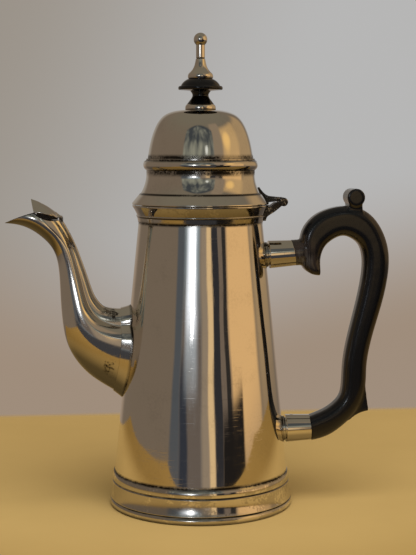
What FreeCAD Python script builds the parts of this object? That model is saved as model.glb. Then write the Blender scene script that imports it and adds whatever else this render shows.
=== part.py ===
import FreeCAD, Part
import math
import os

# Tapered plated coffee pot with a hinged domed lid, a covered swan-neck spout and a wooden handle.
# Millimetres and degrees. The origin is on the pot's axis at the resting plane, +Z is up,
# the spout points to -X and the handle to +X. The pot is the same on both sides of the XZ plane.

# Body: a straight cone
BODY_BASE_R = 44.55
BODY_TOP_R = 31.6
BODY_H = 127.6
WALL = 1.2

# Foot ring, base moulding and floor; the radii stand out from the foot of the body
FOOT_H = 3.6
FOOT_OUT = 2.6
FOOT_EDGE = 0.8
BAND_H = 9.0
BAND_LOW_OUT = 2.3
BAND_TOP_OUT = 1.15
BAND_DIP = 0.3
GROOVE = 0.45
BEAD_H = 4.8
BEAD_OUT = 1.1
BEAD_TOP_OUT = 0.2
SEAT_LEDGE = 0.4
FLOOR_T = 1.2
FLOOR_LEDGE = 1.8

# Rim collar round the mouth; its radii stand out from the top of the body
RIM_H = 8.9
RIM_OUT = 3.1
RIM_LIP = 0.8
RIM_FOOT_OUT = 0.15
RIM_RIDGE_H = 3.4
RIM_RIDGE_OUT = 1.15
RIM_RIDGE_T = 0.8
RIM_LEDGE = 0.1

# Lid: brim, neck, bead and dome, each measured from the one below
LID_GAP = 0.3
BRIM_H = 5.3
BRIM_EDGE = 0.6
BRIM_OVERHANG = 0.1
BRIM_IN = 3.9
NECK_STEP = 0.45
NECK_H = 11.8
NECK_IN = 3.4
NECK_BOW = 0.55
LID_BEAD_H = 5.9
LID_BEAD_OUT = 1.6
LID_BEAD_LIP = 0.75
DOME_IN = 0.7
DOME_H = 24.5
DOME_SHOULDER_IN = 3.4
DOME_SHOULDER_H = 14.3
DOME_CROWN_IN = 8.4
DOME_CROWN_H = 21.6
DOME_TOP_IN = 14.2
DOME_TOP_DROP = 0.55
DOME_SIDE_BOW = 0.45
BEZEL_H = 5.5
BEZEL_T = 1.1
BEZEL_GAP = 0.4
BEZEL_TAPER = 1.0

# Finial: ring, black insulator, turned knob, and the stud that holds them
RING_R = 7.8
RING_TOP_R = 6.9
RING_H = 2.8
WAIST_R = 4.1
WAIST_H = 4.6
DISC_R = 11.3
DISC_LOW = 7.1
DISC_EDGE = 1.9
DISC_BRIM = 1.2
DISC_BOW = 0.4
INSULATOR_H = 12.7
KNOB_SEAT_R = 6.1
KNOB_FLANGE_R = 6.45
KNOB_FLANGE_H = 2.9
STEM_R = 2.25
STEM_FOOT = 11.0
STEM_GROOVE = 0.3
BALL_R = 3.45
KNOB_H = 23.0
STUD_R = 1.5
STUD_GRIP = 7.0
WASHER_R = 4.5
WASHER_T = 0.8
NUT_ACROSS = 5.5
NUT_T = 2.4

# Hinges: the play is radial on the pins and sideways between knuckles
PIN_PLAY = 0.05
KNUCKLE_GAP = 0.3

# Lid hinge, standing off behind the rim
LID_HINGE_OUT = 7.3
LID_HINGE_UP = 1.0
LID_BARREL_R = 2.2
LID_BARREL_W = 11.0
LID_KNUCKLE_W = 4.4
LID_PIN_R = 0.9
STRAP_W = 8.6
STRAP_T = 1.2
BRACKET_W = 9.4
BRACKET_NOTCH = 2.2
BRACKET_GAP = 0.65

# Spout: stations of (lower point, upper point, half width), as distance out from the body wall and height
# above the spout's root
SPOUT_ROOT_Z = 79.0
SPOUT_WALL = 1.0
SPOUT_ROOF = 1.8
SPOUT_STATIONS = [
    ((-4.3, -27.0), (-8.3, 24.0), 11.4),
    ((8.4, -18.7), (3.0, 22.2), 11.6),
    ((18.6, -11.7), (9.6, 23.1), 11.8),
    ((25.9, -3.5), (12.7, 25.1), 11.5),
    ((30.1, 5.0), (15.2, 28.5), 10.8),
    ((32.3, 16.4), (17.4, 33.7), 9.6),
    ((33.1, 28.0), (19.7, 40.5), 8.3),
    ((33.6, 39.5), (22.5, 48.4), 7.3),
    ((35.1, 48.9), (25.5, 56.0), 6.7),
    ((38.0, 54.6), (28.5, 62.1), 6.6),
    ((42.1, 58.8), (31.7, 67.6), 7.0),
    ((49.1, 63.4), (40.2, 75.0), 7.0),
    ((55.2, 65.3), (50.7, 76.0), 4.8),
    ((60.5, 65.9), (59.2, 70.5), 1.2),
]
SPOUT_BELLY = 0.42
SPOUT_LOW_ARRIS = 0.60
SPOUT_HIGH_ARRIS = 0.79
SPOUT_PANEL_BOW = 0.08
SPOUT_CROWN = 0.62
BEAK_TIP = (60.5, 66.1)
BEAK_RUN_OUT = (1.0, -0.4)
BEAK_MIDDLE = (53.0, 68.9)
BEAK_TOP = (46.0, 70.9)
MOUTH_MIDDLE = (39.5, 67.5)
MOUTH_BACK = (34.0, 67.2)
MOUTH_END = (29.0, 67.3)
PORT_R = 9.0
COLLAR_W = 5.0
COLLAR_FLARES = [2.8, 0.4, 0.3, 0.3]

# Spout cover: stations of (ridge point, edge point, half width) in the same measure
FLAP_AXIS = (32.4, 68.6)
FLAP_KNUCKLE_R = 1.0
FLAP_KNUCKLE_W = 3.0
FLAP_PIN_R = 0.45
FLAP_LUG_W = 1.5
FLAP_T = 0.8
FLAP_BOW = 0.35
FLAP_TAB = [((32.5, 69.5), (32.6, 69.0), 1.5), ((34.4, 71.0), (34.4, 69.7), 1.5)]
PLUG_W = 9.0
PLUG_BACK = (36.6, 68.6)
PLUG_LOW = (40.6, 67.6)
PLUG_FRONT = (44.4, 69.4)
FLAP_STATIONS = [
    ((34.2, 70.9), (34.3, 69.6), 1.5),
    ((36.4, 72.7), (35.7, 70.0), 5.4),
    ((41.2, 75.6), (40.4, 71.3), 7.4),
    ((47.4, 78.1), (46.0, 72.2), 6.6),
]

# Handle sockets
UPPER_SOCKET_DROP = 17.0
UPPER_SOCKET_REACH = 14.7
UPPER_TILT = 3.5
UPPER_SLANT = 7.0
LOWER_TILT = 1.5
LOWER_SLANT = 3.3
SOCKET_BOSS_R = 6.4
SOCKET_BOSS_L = 1.0
SOCKET_NECK_R = 5.7
SOCKET_NECK_L = 0.8
SOCKET_ROOT_R = 7.15
SOCKET_MOUTH_R = 6.6
SOCKET_BORE_R = 5.7
SOCKET_BACK = 0.8
SOCKET_SINK = 6.0

# Handle: stations of (back point, finger-side point), the upper ones measured from the upper socket's mouth
# and the lower ones from the lower socket's mouth
HANDLE_SPAN = 91.3
HANDLE_SET_OUT = 9.2
HANDLE_T = 13.6
BEAK_T = 8.0
HANDLE_ROUND = 4.6
UPPER_STATIONS = [
    ((12.4, -11.5), (13.5, -11.8)),
    ((7.7, -10.2), (13.4, -8.6)),
    ((4.6, -7.2), (13.4, -5.4)),
    ((3.1, 1.0), (13.9, -1.3)),
    ((4.3, 11.2), (15.6, 2.9)),
    ((10.5, 19.1), (18.8, 6.1)),
    ((18.7, 22.9), (22.6, 8.2)),
    ((28.5, 24.0), (26.5, 8.6)),
    ((38.0, 20.7), (30.6, 6.9)),
    ((45.5, 11.7), (34.2, 3.4)),
    ((49.2, -0.4), (36.0, -3.4)),
    ((48.8, -12.9), (35.6, -12.4)),
]
LOWER_STATIONS = [
    ((32.8, 50.9), (20.4, 51.2)),
    ((29.1, 31.4), (17.0, 31.4)),
    ((28.4, 19.9), (16.3, 19.9)),
    ((25.2, 10.3), (14.4, 15.0)),
    ((18.0, 2.0), (9.8, 10.8)),
    ((9.3, -4.0), (5.1, 8.3)),
    ((-0.4, -6.7), (-1.6, 5.7)),
]
STUB_R = 6.7
STUB_L = 5.0
TENON_GLUE = 0.05
TENON_END_GAP = 0.3
SCROLL_AT = (31.2, 28.4)
SCROLL_R = 4.6
SCROLL_W = 14.4
SCROLL_ROUND = 0.7
HEEL_T = 11.6
HEEL_ROOT = (24.0, 16.0)
HEEL_TOP = (28.6, 21.5)
HEEL_BACK = (29.7, 14.4)
HEEL_TIP = (30.1, 9.6)
HEEL_POINT = (30.0, 8.8)
HEEL_UNDER = (25.6, 7.7)
HEEL_END = (20.2, 3.9)
HEEL_INNER = (18.0, 6.0)
LOWER_PIN_AT = 5.0
UPPER_PIN_AT = 7.5
HANDLE_PIN_R = 0.8
UPPER_PIN_DEPTH = 9.0

V = FreeCAD.Vector
OUT_OF_PAGE = V(0, 1, 0)
BEYOND = 40.0

BASE_TOP = FOOT_H + BAND_H + BEAD_H
BODY_TOP = BASE_TOP + BODY_H
BASE_BORE_R = BODY_BASE_R - WALL - SEAT_LEDGE
UPPER_SOCKET_Z = BODY_TOP - UPPER_SOCKET_DROP
RIM_TOP = BODY_TOP + RIM_H
RIM_R = BODY_TOP_R + RIM_OUT
RIM_BORE_R = BODY_TOP_R - WALL - RIM_LEDGE
LID_Z = RIM_TOP + LID_GAP
BRIM_R = RIM_R + BRIM_OVERHANG
NECK_Z = LID_Z + BRIM_H
NECK_FOOT_R = BRIM_R - BRIM_IN - NECK_STEP
NECK_R = BRIM_R - BRIM_IN - NECK_IN
LID_BEAD_Z = NECK_Z + NECK_H
LID_BEAD_R = NECK_R + LID_BEAD_OUT
DOME_Z = LID_BEAD_Z + LID_BEAD_H
DOME_R = NECK_R - DOME_IN
BEZEL_R = RIM_BORE_R - BEZEL_GAP
FINIAL_Z = DOME_Z + DOME_H
INSULATOR_Z = FINIAL_Z + RING_H
KNOB_Z = INSULATOR_Z + INSULATOR_H


# Shared shapes


def pt(across, up):
    """Point of the XZ plane."""
    return V(across, 0, up)


def edge_through(points):
    """Line through two points, arc through three, smooth curve through more."""
    if len(points) == 2:
        return Part.LineSegment(*points).toShape()
    if len(points) == 3:
        return Part.Arc(*points).toShape()
    spline = Part.BSplineCurve()
    spline.interpolate(points)
    return spline.toShape()


def outline(start, *steps):
    """Closed face in the XZ plane: each step lists the points that its edge runs through."""
    edges = []
    here = pt(*start)
    for step in list(steps) + [[start]]:
        points = [here] + [pt(*place) for place in step]
        edges.append(edge_through(points))
        here = points[-1]
    return Part.Face(Part.Wire(edges))


def turned(start, *steps):
    """Solid turned about the pot's axis."""
    return outline(start, *steps).revolve(V(0, 0, 0), V(0, 0, 1), 360)


def plate(width, start, *steps):
    """Flat plate of an outline, centred on the XZ plane."""
    face = outline(start, *steps)
    face.translate(V(0, -width / 2, 0))
    return face.extrude(V(0, width, 0))


def cross_rod(radius, width, centre, side=0.0):
    """Round rod across the pot, centred on a point of the XZ plane and moved sideways."""
    return Part.makeCylinder(radius, width, centre + V(0, side - width / 2, 0), OUT_OF_PAGE)


def body_r(height):
    """Outer radius of the body's cone at a height."""
    return BODY_BASE_R + (BODY_TOP_R - BODY_BASE_R) * (height - BASE_TOP) / BODY_H


def body_cone(grown=0.0):
    """Filled cone of the body, grown outwards by a margin."""
    return Part.makeCone(BODY_BASE_R + grown, BODY_TOP_R + grown, BODY_H, V(0, 0, BASE_TOP))


# Foot, base and body


def foot_ring():
    outer = BODY_BASE_R + FOOT_OUT
    inner = BASE_BORE_R - FLOOR_LEDGE
    return turned(
        (inner, 0),
        [(outer - FOOT_EDGE, 0)],
        [(outer, FOOT_H * 0.4), (outer - FOOT_EDGE, FOOT_H)],
        [(inner, FOOT_H)],
    )


def base_moulding():
    low = BODY_BASE_R + BAND_LOW_OUT
    top = BODY_BASE_R + BAND_TOP_OUT
    bead = BODY_BASE_R + BEAD_OUT
    band_top = FOOT_H + BAND_H
    return turned(
        (BASE_BORE_R, FOOT_H),
        [(low - GROOVE, FOOT_H)],
        [(low, FOOT_H + GROOVE)],
        [((low + top) / 2 - BAND_DIP, FOOT_H + BAND_H / 2), (top, band_top - GROOVE)],
        [(top - GROOVE, band_top)],
        [(bead, band_top + GROOVE)],
        [(bead, band_top + BEAD_H * 0.5), (BODY_BASE_R + BEAD_TOP_OUT, BASE_TOP)],
        [(BASE_BORE_R, BASE_TOP)],
    )


def body_floor():
    return Part.makeCylinder(BASE_BORE_R, FLOOR_T, V(0, 0, FOOT_H))


def body_shell():
    wall = turned(
        (BODY_BASE_R - WALL, BASE_TOP),
        [(BODY_BASE_R, BASE_TOP)],
        [(BODY_TOP_R, BODY_TOP)],
        [(BODY_TOP_R - WALL, BODY_TOP)],
    )
    port = Part.makeCylinder(PORT_R, BODY_BASE_R, V(0, 0, SPOUT_ROOT_Z), V(-1, 0, 0))
    return wall.cut(port)


def rim_profile(bore):
    """Outline of the rim collar, from a bore to its flared outside."""
    foot = BODY_TOP_R + RIM_FOOT_OUT
    ridge = BODY_TOP_R + RIM_RIDGE_OUT
    ridge_z = BODY_TOP + RIM_RIDGE_H
    step = RIM_RIDGE_T / 2
    lip_z = RIM_TOP - RIM_LIP
    hollow = ((ridge + RIM_R) / 2 - step, (ridge_z + step + lip_z) / 2)
    return [
        (bore, BODY_TOP),
        [(foot, BODY_TOP)],
        [(ridge - step, ridge_z - step)],
        [(ridge, ridge_z), (ridge - step, ridge_z + step)],
        [hollow, (RIM_R, lip_z)],
        [(RIM_R, RIM_TOP)],
        [(bore, RIM_TOP)],
    ]


def rim_collar():
    return turned(*rim_profile(RIM_BORE_R))


# Lid


def skirt_profile(inside):
    """Outline of the brim and neck, closed by the inside steps given."""
    neck_top = NECK_Z + NECK_H
    middle = ((NECK_FOOT_R + NECK_R) / 2 - NECK_BOW, NECK_Z + NECK_H * 0.38)
    return [
        (BRIM_R, LID_Z),
        [(BRIM_R, LID_Z + BRIM_EDGE)],
        [(BRIM_R - BRIM_IN, NECK_Z)],
        [(NECK_FOOT_R, NECK_Z)],
        [middle, (NECK_R, NECK_Z + NECK_H * 0.8)],
        [(NECK_R, neck_top)],
    ] + inside


def lid_skirt():
    middle = ((NECK_FOOT_R + NECK_R) / 2 - NECK_BOW - WALL, NECK_Z + NECK_H * 0.38)
    inside = [
        [(NECK_R - WALL, LID_BEAD_Z)],
        [(NECK_R - WALL, NECK_Z + NECK_H * 0.8)],
        [middle, (NECK_FOOT_R - WALL, NECK_Z)],
        [(BEZEL_R - BEZEL_T, LID_Z)],
    ]
    return turned(*skirt_profile(inside))


def lid_bezel():
    return turned(
        (BEZEL_R - BEZEL_T, LID_Z),
        [(BEZEL_R, LID_Z)],
        [(BEZEL_R - BEZEL_TAPER, LID_Z - BEZEL_H)],
        [(BEZEL_R - BEZEL_TAPER - BEZEL_T, LID_Z - BEZEL_H)],
    )


def lid_bead():
    lip = DOME_R + LID_BEAD_LIP
    return turned(
        (NECK_R - WALL, LID_BEAD_Z),
        [(NECK_R, LID_BEAD_Z)],
        [(LID_BEAD_R - LID_BEAD_LIP, LID_BEAD_Z + LID_BEAD_H * 0.13)],
        [
            (LID_BEAD_R, LID_BEAD_Z + LID_BEAD_H * 0.42),
            (LID_BEAD_R - LID_BEAD_LIP, LID_BEAD_Z + LID_BEAD_H * 0.8),
        ],
        [(lip, LID_BEAD_Z + LID_BEAD_H * 0.86)],
        [(lip, DOME_Z)],
        [(DOME_R - WALL, DOME_Z)],
    )


def dome_curve(inset):
    """Points of the bell from its foot to the finial's seat, moved inwards by a wall."""
    side_r = DOME_R - DOME_SHOULDER_IN / 2 + DOME_SIDE_BOW
    return [
        (DOME_R - inset, DOME_Z),
        (side_r - inset, DOME_Z + DOME_SHOULDER_H / 2),
        (DOME_R - DOME_SHOULDER_IN - inset, DOME_Z + DOME_SHOULDER_H),
        (DOME_R - DOME_CROWN_IN - inset * 0.6, DOME_Z + DOME_CROWN_H - inset * 0.8),
        (DOME_R - DOME_TOP_IN, FINIAL_Z - DOME_TOP_DROP - inset),
        (RING_R, FINIAL_Z - inset),
    ]


def lid_dome():
    hole = STUD_R + PIN_PLAY
    outside = dome_curve(0.0)
    inside = dome_curve(WALL)
    inside.reverse()
    return turned(
        outside[0],
        outside[1:],
        [(hole, FINIAL_Z)],
        [(hole, FINIAL_Z - WALL)],
        [inside[0]],
        inside[1:],
    )


def finial_ring():
    bore = STUD_R + PIN_PLAY
    return turned(
        (bore, FINIAL_Z),
        [(RING_R, FINIAL_Z)],
        [(RING_R, FINIAL_Z + RING_H * 0.3)],
        [(RING_R - (RING_R - RING_TOP_R) * 0.3, FINIAL_Z + RING_H * 0.75), (RING_TOP_R, INSULATOR_Z)],
        [(bore, INSULATOR_Z)],
    )


def finial_insulator():
    bore = STUD_R + PIN_PLAY
    z = INSULATOR_Z
    rim_top = z + DISC_LOW + DISC_EDGE
    brim = DISC_R - DISC_BRIM
    return turned(
        (bore, z),
        [(RING_TOP_R, z)],
        [
            ((RING_TOP_R + WAIST_R) / 2, z + WAIST_H * 0.4),
            (WAIST_R, z + WAIST_H),
            (WAIST_R + (DISC_LOW - WAIST_H) * 0.45, z + DISC_LOW - DISC_EDGE * 0.25),
        ],
        [(DISC_R - DISC_EDGE * 0.2, z + DISC_LOW)],
        [(DISC_R, z + DISC_LOW + DISC_EDGE * 0.5), (DISC_R - DISC_EDGE * 0.2, rim_top)],
        [(brim, rim_top)],
        [((brim + KNOB_SEAT_R) / 2 + DISC_BOW, (rim_top + KNOB_Z) / 2 + DISC_BOW), (KNOB_SEAT_R, KNOB_Z)],
        [(bore, KNOB_Z)],
    )


def finial_knob():
    z = KNOB_Z
    flange_top = z + KNOB_FLANGE_H
    foot_z = z + STEM_FOOT
    rise = foot_z - flange_top
    flare = KNOB_FLANGE_R - STEM_R
    ball_z = z + KNOB_H - BALL_R
    ball_foot = ball_z - math.sqrt(BALL_R**2 - STEM_R**2)
    knob = turned(
        (0, z),
        [(KNOB_SEAT_R, z)],
        [(KNOB_FLANGE_R, z + KNOB_FLANGE_H * 0.4), (KNOB_FLANGE_R - flare * 0.17, flange_top)],
        [
            (STEM_R + flare * 0.43, flange_top + rise * 0.25),
            (STEM_R + flare * 0.22, flange_top + rise * 0.49),
            (STEM_R + STEM_GROOVE * 0.5, foot_z - STEM_GROOVE),
        ],
        [(STEM_R - STEM_GROOVE, foot_z)],
        [(STEM_R, foot_z + STEM_GROOVE)],
        [(STEM_R, ball_foot)],
        [(BALL_R, ball_z), (0, z + KNOB_H)],
    )
    return knob.cut(Part.makeCylinder(STUD_R, STUD_GRIP, V(0, 0, z)))


def finial_stud():
    low = FINIAL_Z - WALL - WASHER_T - NUT_T
    return Part.makeCylinder(STUD_R, KNOB_Z + STUD_GRIP - low, V(0, 0, low))


def finial_washer():
    z = FINIAL_Z - WALL - WASHER_T
    disc = Part.makeCylinder(WASHER_R, WASHER_T, V(0, 0, z))
    return disc.cut(Part.makeCylinder(STUD_R + PIN_PLAY, WASHER_T, V(0, 0, z)))


def finial_nut():
    z = FINIAL_Z - WALL - WASHER_T - NUT_T
    corner = NUT_ACROSS / math.sqrt(3)
    corners = []
    for side in range(7):
        turn = math.radians(60 * side)
        corners.append(V(corner * math.cos(turn), corner * math.sin(turn), z))
    hexagon = Part.Face(Part.makePolygon(corners)).extrude(V(0, 0, NUT_T))
    return hexagon.cut(Part.makeCylinder(STUD_R, NUT_T, V(0, 0, z)))


# Lid hinge


def lid_axis():
    return pt(RIM_R + LID_HINGE_OUT, LID_Z + LID_HINGE_UP)


def lid_hinge_bracket():
    axis = lid_axis()
    outer_w = (LID_BARREL_W - LID_KNUCKLE_W) / 2 - KNUCKLE_GAP
    side = LID_BARREL_W / 2 - outer_w / 2
    arm = plate(
        BRACKET_W,
        (BODY_TOP_R, BODY_TOP + STRAP_T * 0.5),
        [(BODY_TOP_R + STRAP_T + RIM_FOOT_OUT, BODY_TOP + STRAP_T * 0.5)],
        [
            (BODY_TOP_R + STRAP_T + RIM_RIDGE_OUT * 0.6, BODY_TOP + RIM_RIDGE_H * 0.7),
            (RIM_R + STRAP_T * 0.9, BODY_TOP + RIM_H * 0.47),
            (axis.x - LID_BARREL_R * 0.4, axis.z - LID_BARREL_R * 0.9),
        ],
        [(axis.x, axis.z)],
        [(axis.x - LID_BARREL_R * 0.5, axis.z + STRAP_T * 0.25 - BRACKET_GAP)],
        [(RIM_R + BRACKET_NOTCH + STRAP_T, axis.z + STRAP_T * 0.25 - BRACKET_GAP)],
        [(RIM_R + BRACKET_NOTCH, RIM_TOP), (RIM_R, RIM_TOP - STRAP_T)],
        [(BODY_TOP_R, RIM_TOP - STRAP_T)],
    )
    arm = arm.cut(turned(*rim_profile(0)))
    arm = arm.cut(cross_rod(LID_BARREL_R + KNUCKLE_GAP, LID_KNUCKLE_W + 2 * KNUCKLE_GAP, axis))
    for turn in (-1, 1):
        arm = arm.fuse(cross_rod(LID_BARREL_R, outer_w, axis, turn * side))
    return arm.cut(cross_rod(LID_PIN_R, LID_BARREL_W, axis)).removeSplitter()


def lid_hinge_strap():
    axis = lid_axis()
    leaf_end = RIM_R + LID_HINGE_OUT - LID_BARREL_R - STRAP_T
    arm_low = axis.z + STRAP_T * 0.25
    arm_top = axis.z + LID_BARREL_R
    tip_r = NECK_FOOT_R - STRAP_T * 0.4
    leaf = plate(
        STRAP_W,
        (NECK_R, LID_Z + BRIM_EDGE + STRAP_T * 0.3),
        [(leaf_end, arm_low)],
        [(leaf_end, arm_top + STRAP_T * 0.3)],
        [
            (BRIM_R - BRIM_IN * 0.35, LID_Z + BRIM_H * 0.86),
            (NECK_FOOT_R + STRAP_T * 0.7, NECK_Z + STRAP_T),
            (tip_r, NECK_Z + STRAP_T * 2.7),
        ],
        [(NECK_R, NECK_Z + STRAP_T * 2.7)],
    )
    arm = plate(
        LID_KNUCKLE_W,
        (leaf_end - STRAP_T, arm_low),
        [(axis.x, arm_low)],
        [(axis.x, arm_top)],
        [(leaf_end - STRAP_T, arm_top + STRAP_T * 0.3)],
    )
    lid_core = turned(*skirt_profile([[(0, LID_BEAD_Z)], [(0, LID_Z)]]))
    strap = leaf.fuse(arm).cut(lid_core)
    strap = strap.fuse(cross_rod(LID_BARREL_R, LID_KNUCKLE_W, axis))
    return strap.cut(cross_rod(LID_PIN_R + PIN_PLAY, LID_KNUCKLE_W, axis)).removeSplitter()


def lid_hinge_pin():
    return cross_rod(LID_PIN_R, LID_BARREL_W, lid_axis())


# Spout


def spout_pt(out, up):
    """Point of the XZ plane, as distance out from the wall at the spout's root and height above it."""
    return pt(-body_r(SPOUT_ROOT_Z) - out, SPOUT_ROOT_Z + up)


def spout_half(base, rise, length, half, side):
    """Edges of one side of a section, from its lowest point to its crown."""
    def at(along, across):
        return base + rise * along + V(0, side * across, 0)

    end = math.acos(1 - SPOUT_LOW_ARRIS / SPOUT_BELLY)
    turns = [end * share / 4 for share in range(5)]
    belly = Part.BSplineCurve()
    belly.interpolate(
        Points=[at(SPOUT_BELLY * length * (1 - math.cos(turn)), half * math.sin(turn)) for turn in turns],
        InitialTangent=V(0, side, 0),
        FinalTangent=rise * (SPOUT_BELLY * length * math.sin(end)) + V(0, side * half * math.cos(end), 0),
    )
    low_arris = at(SPOUT_LOW_ARRIS * length, half * math.sin(end))
    high_arris = at(SPOUT_HIGH_ARRIS * length, half * SPOUT_CROWN)
    drop = (1 - SPOUT_HIGH_ARRIS) * length
    crown_r = ((half * SPOUT_CROWN) ** 2 + drop**2) / (2 * drop)
    lean = math.acos(1 - drop / crown_r) / 2
    crown_middle = at(length - crown_r * (1 - math.cos(lean)), crown_r * math.sin(lean))
    crown = Part.Arc(high_arris, crown_middle, at(length, 0))
    chord = high_arris - low_arris
    outward = V(0, side, 0) - chord * (side * chord.y / chord.Length**2)
    panel_middle = (low_arris + high_arris) * 0.5 + outward.normalize() * (SPOUT_PANEL_BOW * chord.Length)
    panel = Part.Arc(low_arris, panel_middle, high_arris)
    return [belly.toShape(), panel.toShape(), crown.toShape()]


def spout_section(low, high, half, skin=0.0, roof=0.0):
    """Section of the spout: round belly, a bowed panel between two arrises on each side, round crown."""
    low = spout_pt(*low)
    high = spout_pt(*high)
    length = (high - low).Length - skin - roof
    rise = (high - low).normalize()
    base = low + rise * skin
    near = spout_half(base, rise, length, half - skin, -1)
    far = spout_half(base, rise, length, half - skin, 1)
    far.reverse()
    return Part.Wire(near + far)


def spout_loft(skin, roof):
    sections = [spout_section(low, high, half, skin, roof) for low, high, half in SPOUT_STATIONS]
    return Part.makeLoft(sections, True, False)


def spout_xz(*points):
    """Outline points of the XZ plane from spout measures."""
    places = [spout_pt(*point) for point in points]
    return [(place.x, place.z) for place in places]


def mouth_cutter():
    """Everything above the beak's edges and the mouth's rim."""
    far_tip = (BEAK_TIP[0] + BEAK_RUN_OUT[0], BEAK_TIP[1] + BEAK_RUN_OUT[1])
    above = BEAK_TOP[1] + BEYOND
    return plate(
        BEYOND,
        spout_xz(far_tip)[0],
        spout_xz(BEAK_TIP),
        spout_xz(BEAK_MIDDLE, BEAK_TOP),
        spout_xz(MOUTH_MIDDLE, MOUTH_BACK),
        spout_xz(MOUTH_END),
        spout_xz((MOUTH_END[0], above)),
        spout_xz((far_tip[0], above)),
    )


def spout_outside():
    """Filled spout with its mouth cut, still running into the body."""
    return spout_loft(0.0, 0.0).cut(mouth_cutter())


def spout():
    return spout_outside().cut(body_cone()).cut(spout_loft(SPOUT_WALL, SPOUT_ROOF))


def spout_collar():
    sections = []
    for station, flare in zip(SPOUT_STATIONS, COLLAR_FLARES):
        sections.append(spout_section(*station, skin=-flare, roof=-flare))
    near_wall = body_cone(COLLAR_W).cut(body_cone())
    return Part.makeLoft(sections, True, False).common(near_wall).cut(spout_loft(0.0, 0.0))


def flap_axis():
    return spout_pt(*FLAP_AXIS)


def flap_section(ridge, edge, half):
    """Section of the cover: two slightly bowed slopes that meet at a ridge, on a flat underside."""
    ridge = spout_pt(*ridge)
    edge = spout_pt(*edge)
    down = (edge - ridge).normalize()
    drop = (edge - ridge).Length

    def at(depth, across):
        return ridge + down * depth + V(0, across, 0)

    bow = FLAP_BOW * half / FLAP_STATIONS[-1][2]
    edges = [
        Part.Arc(at(0, 0), at(drop / 2 - bow, half / 2), at(drop, half)).toShape(),
        Part.LineSegment(at(drop, half), at(drop + FLAP_T, half)).toShape(),
        Part.LineSegment(at(drop + FLAP_T, half), at(drop + FLAP_T, -half)).toShape(),
        Part.LineSegment(at(drop + FLAP_T, -half), at(drop, -half)).toShape(),
        Part.Arc(at(drop, -half), at(drop / 2 - bow, -half / 2), at(0, 0)).toShape(),
    ]
    return Part.Wire(edges)


def spout_flap():
    leaf = Part.makeLoft([flap_section(*station) for station in FLAP_STATIONS], True, False)
    tab = Part.makeLoft([flap_section(*station) for station in FLAP_TAB], True, True)
    plug = plate(
        PLUG_W,
        *spout_xz(PLUG_BACK),
        spout_xz(PLUG_LOW, PLUG_FRONT),
        spout_xz((PLUG_FRONT[0], FLAP_STATIONS[-1][1][1])),
        spout_xz((PLUG_BACK[0], FLAP_STATIONS[1][1][1])),
    )
    flap = leaf.fuse([tab, plug, cross_rod(FLAP_KNUCKLE_R, FLAP_KNUCKLE_W, flap_axis())])
    return flap.cut(cross_rod(FLAP_PIN_R + PIN_PLAY, FLAP_KNUCKLE_W, flap_axis()))


def flap_hinge_width():
    return FLAP_KNUCKLE_W + 2 * KNUCKLE_GAP + 2 * FLAP_LUG_W


def flap_hinge_lugs():
    axis = flap_axis()
    side = (FLAP_KNUCKLE_W + FLAP_LUG_W) / 2 + KNUCKLE_GAP
    seat = spout_outside()
    lugs = []
    for turn in (-1, 1):
        ear = cross_rod(FLAP_KNUCKLE_R, FLAP_LUG_W, axis, turn * side)
        leg = Part.makeBox(
            2 * FLAP_KNUCKLE_R,
            FLAP_LUG_W,
            4 * FLAP_KNUCKLE_R,
            axis + V(-FLAP_KNUCKLE_R, turn * side - FLAP_LUG_W / 2, -4 * FLAP_KNUCKLE_R),
        )
        lug = ear.fuse(leg).cut(cross_rod(FLAP_PIN_R, FLAP_LUG_W, axis, turn * side)).cut(seat)
        lugs.append(lug.removeSplitter())
    return Part.makeCompound(lugs)


def flap_hinge_pin():
    return cross_rod(FLAP_PIN_R, flap_hinge_width(), flap_axis())


# Handle sockets


def along(tilt):
    """Direction that leans up from +X by an angle."""
    return V(math.cos(math.radians(tilt)), 0, math.sin(math.radians(tilt)))


def upper_mouth():
    wall = pt(body_r(UPPER_SOCKET_Z), UPPER_SOCKET_Z)
    return wall + along(UPPER_TILT) * UPPER_SOCKET_REACH


def lower_mouth():
    return upper_mouth() + V(HANDLE_SET_OUT, 0, -HANDLE_SPAN)


def lower_reach():
    """Length from the body's wall to the lower mouth along the lower socket's axis."""
    mouth = lower_mouth()
    taper = (BODY_TOP_R - BODY_BASE_R) / BODY_H
    lean = along(LOWER_TILT)
    return (mouth.x - body_r(mouth.z)) / (lean.x - taper * lean.z)


def set_along(shape, mouth, reach, tilt):
    """Puts a shape drawn along +X from the wall onto a socket's axis."""
    wall = mouth - along(tilt) * reach
    shape.Placement = FreeCAD.Placement(wall, FreeCAD.Rotation(OUT_OF_PAGE, -tilt))
    return shape


def beyond_mouth(mouth, lean, outward):
    """Block on one side of a socket's mouth plane."""
    start = 0 if outward else -BEYOND
    block = Part.makeBox(BEYOND, BEYOND, BEYOND, V(start, -BEYOND / 2, -BEYOND / 2))
    block.Placement = FreeCAD.Placement(mouth, FreeCAD.Rotation(OUT_OF_PAGE, -lean))
    return block


def tube_start():
    return SOCKET_BOSS_L + SOCKET_NECK_L


def socket_base(mouth, reach, tilt):
    boss = Part.makeCylinder(SOCKET_BOSS_R, SOCKET_SINK + SOCKET_BOSS_L, V(-SOCKET_SINK, 0, 0), V(1, 0, 0))
    neck = Part.makeCylinder(SOCKET_NECK_R, SOCKET_NECK_L, V(SOCKET_BOSS_L, 0, 0), V(1, 0, 0))
    return set_along(boss.fuse(neck), mouth, reach, tilt).cut(body_cone())


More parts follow.
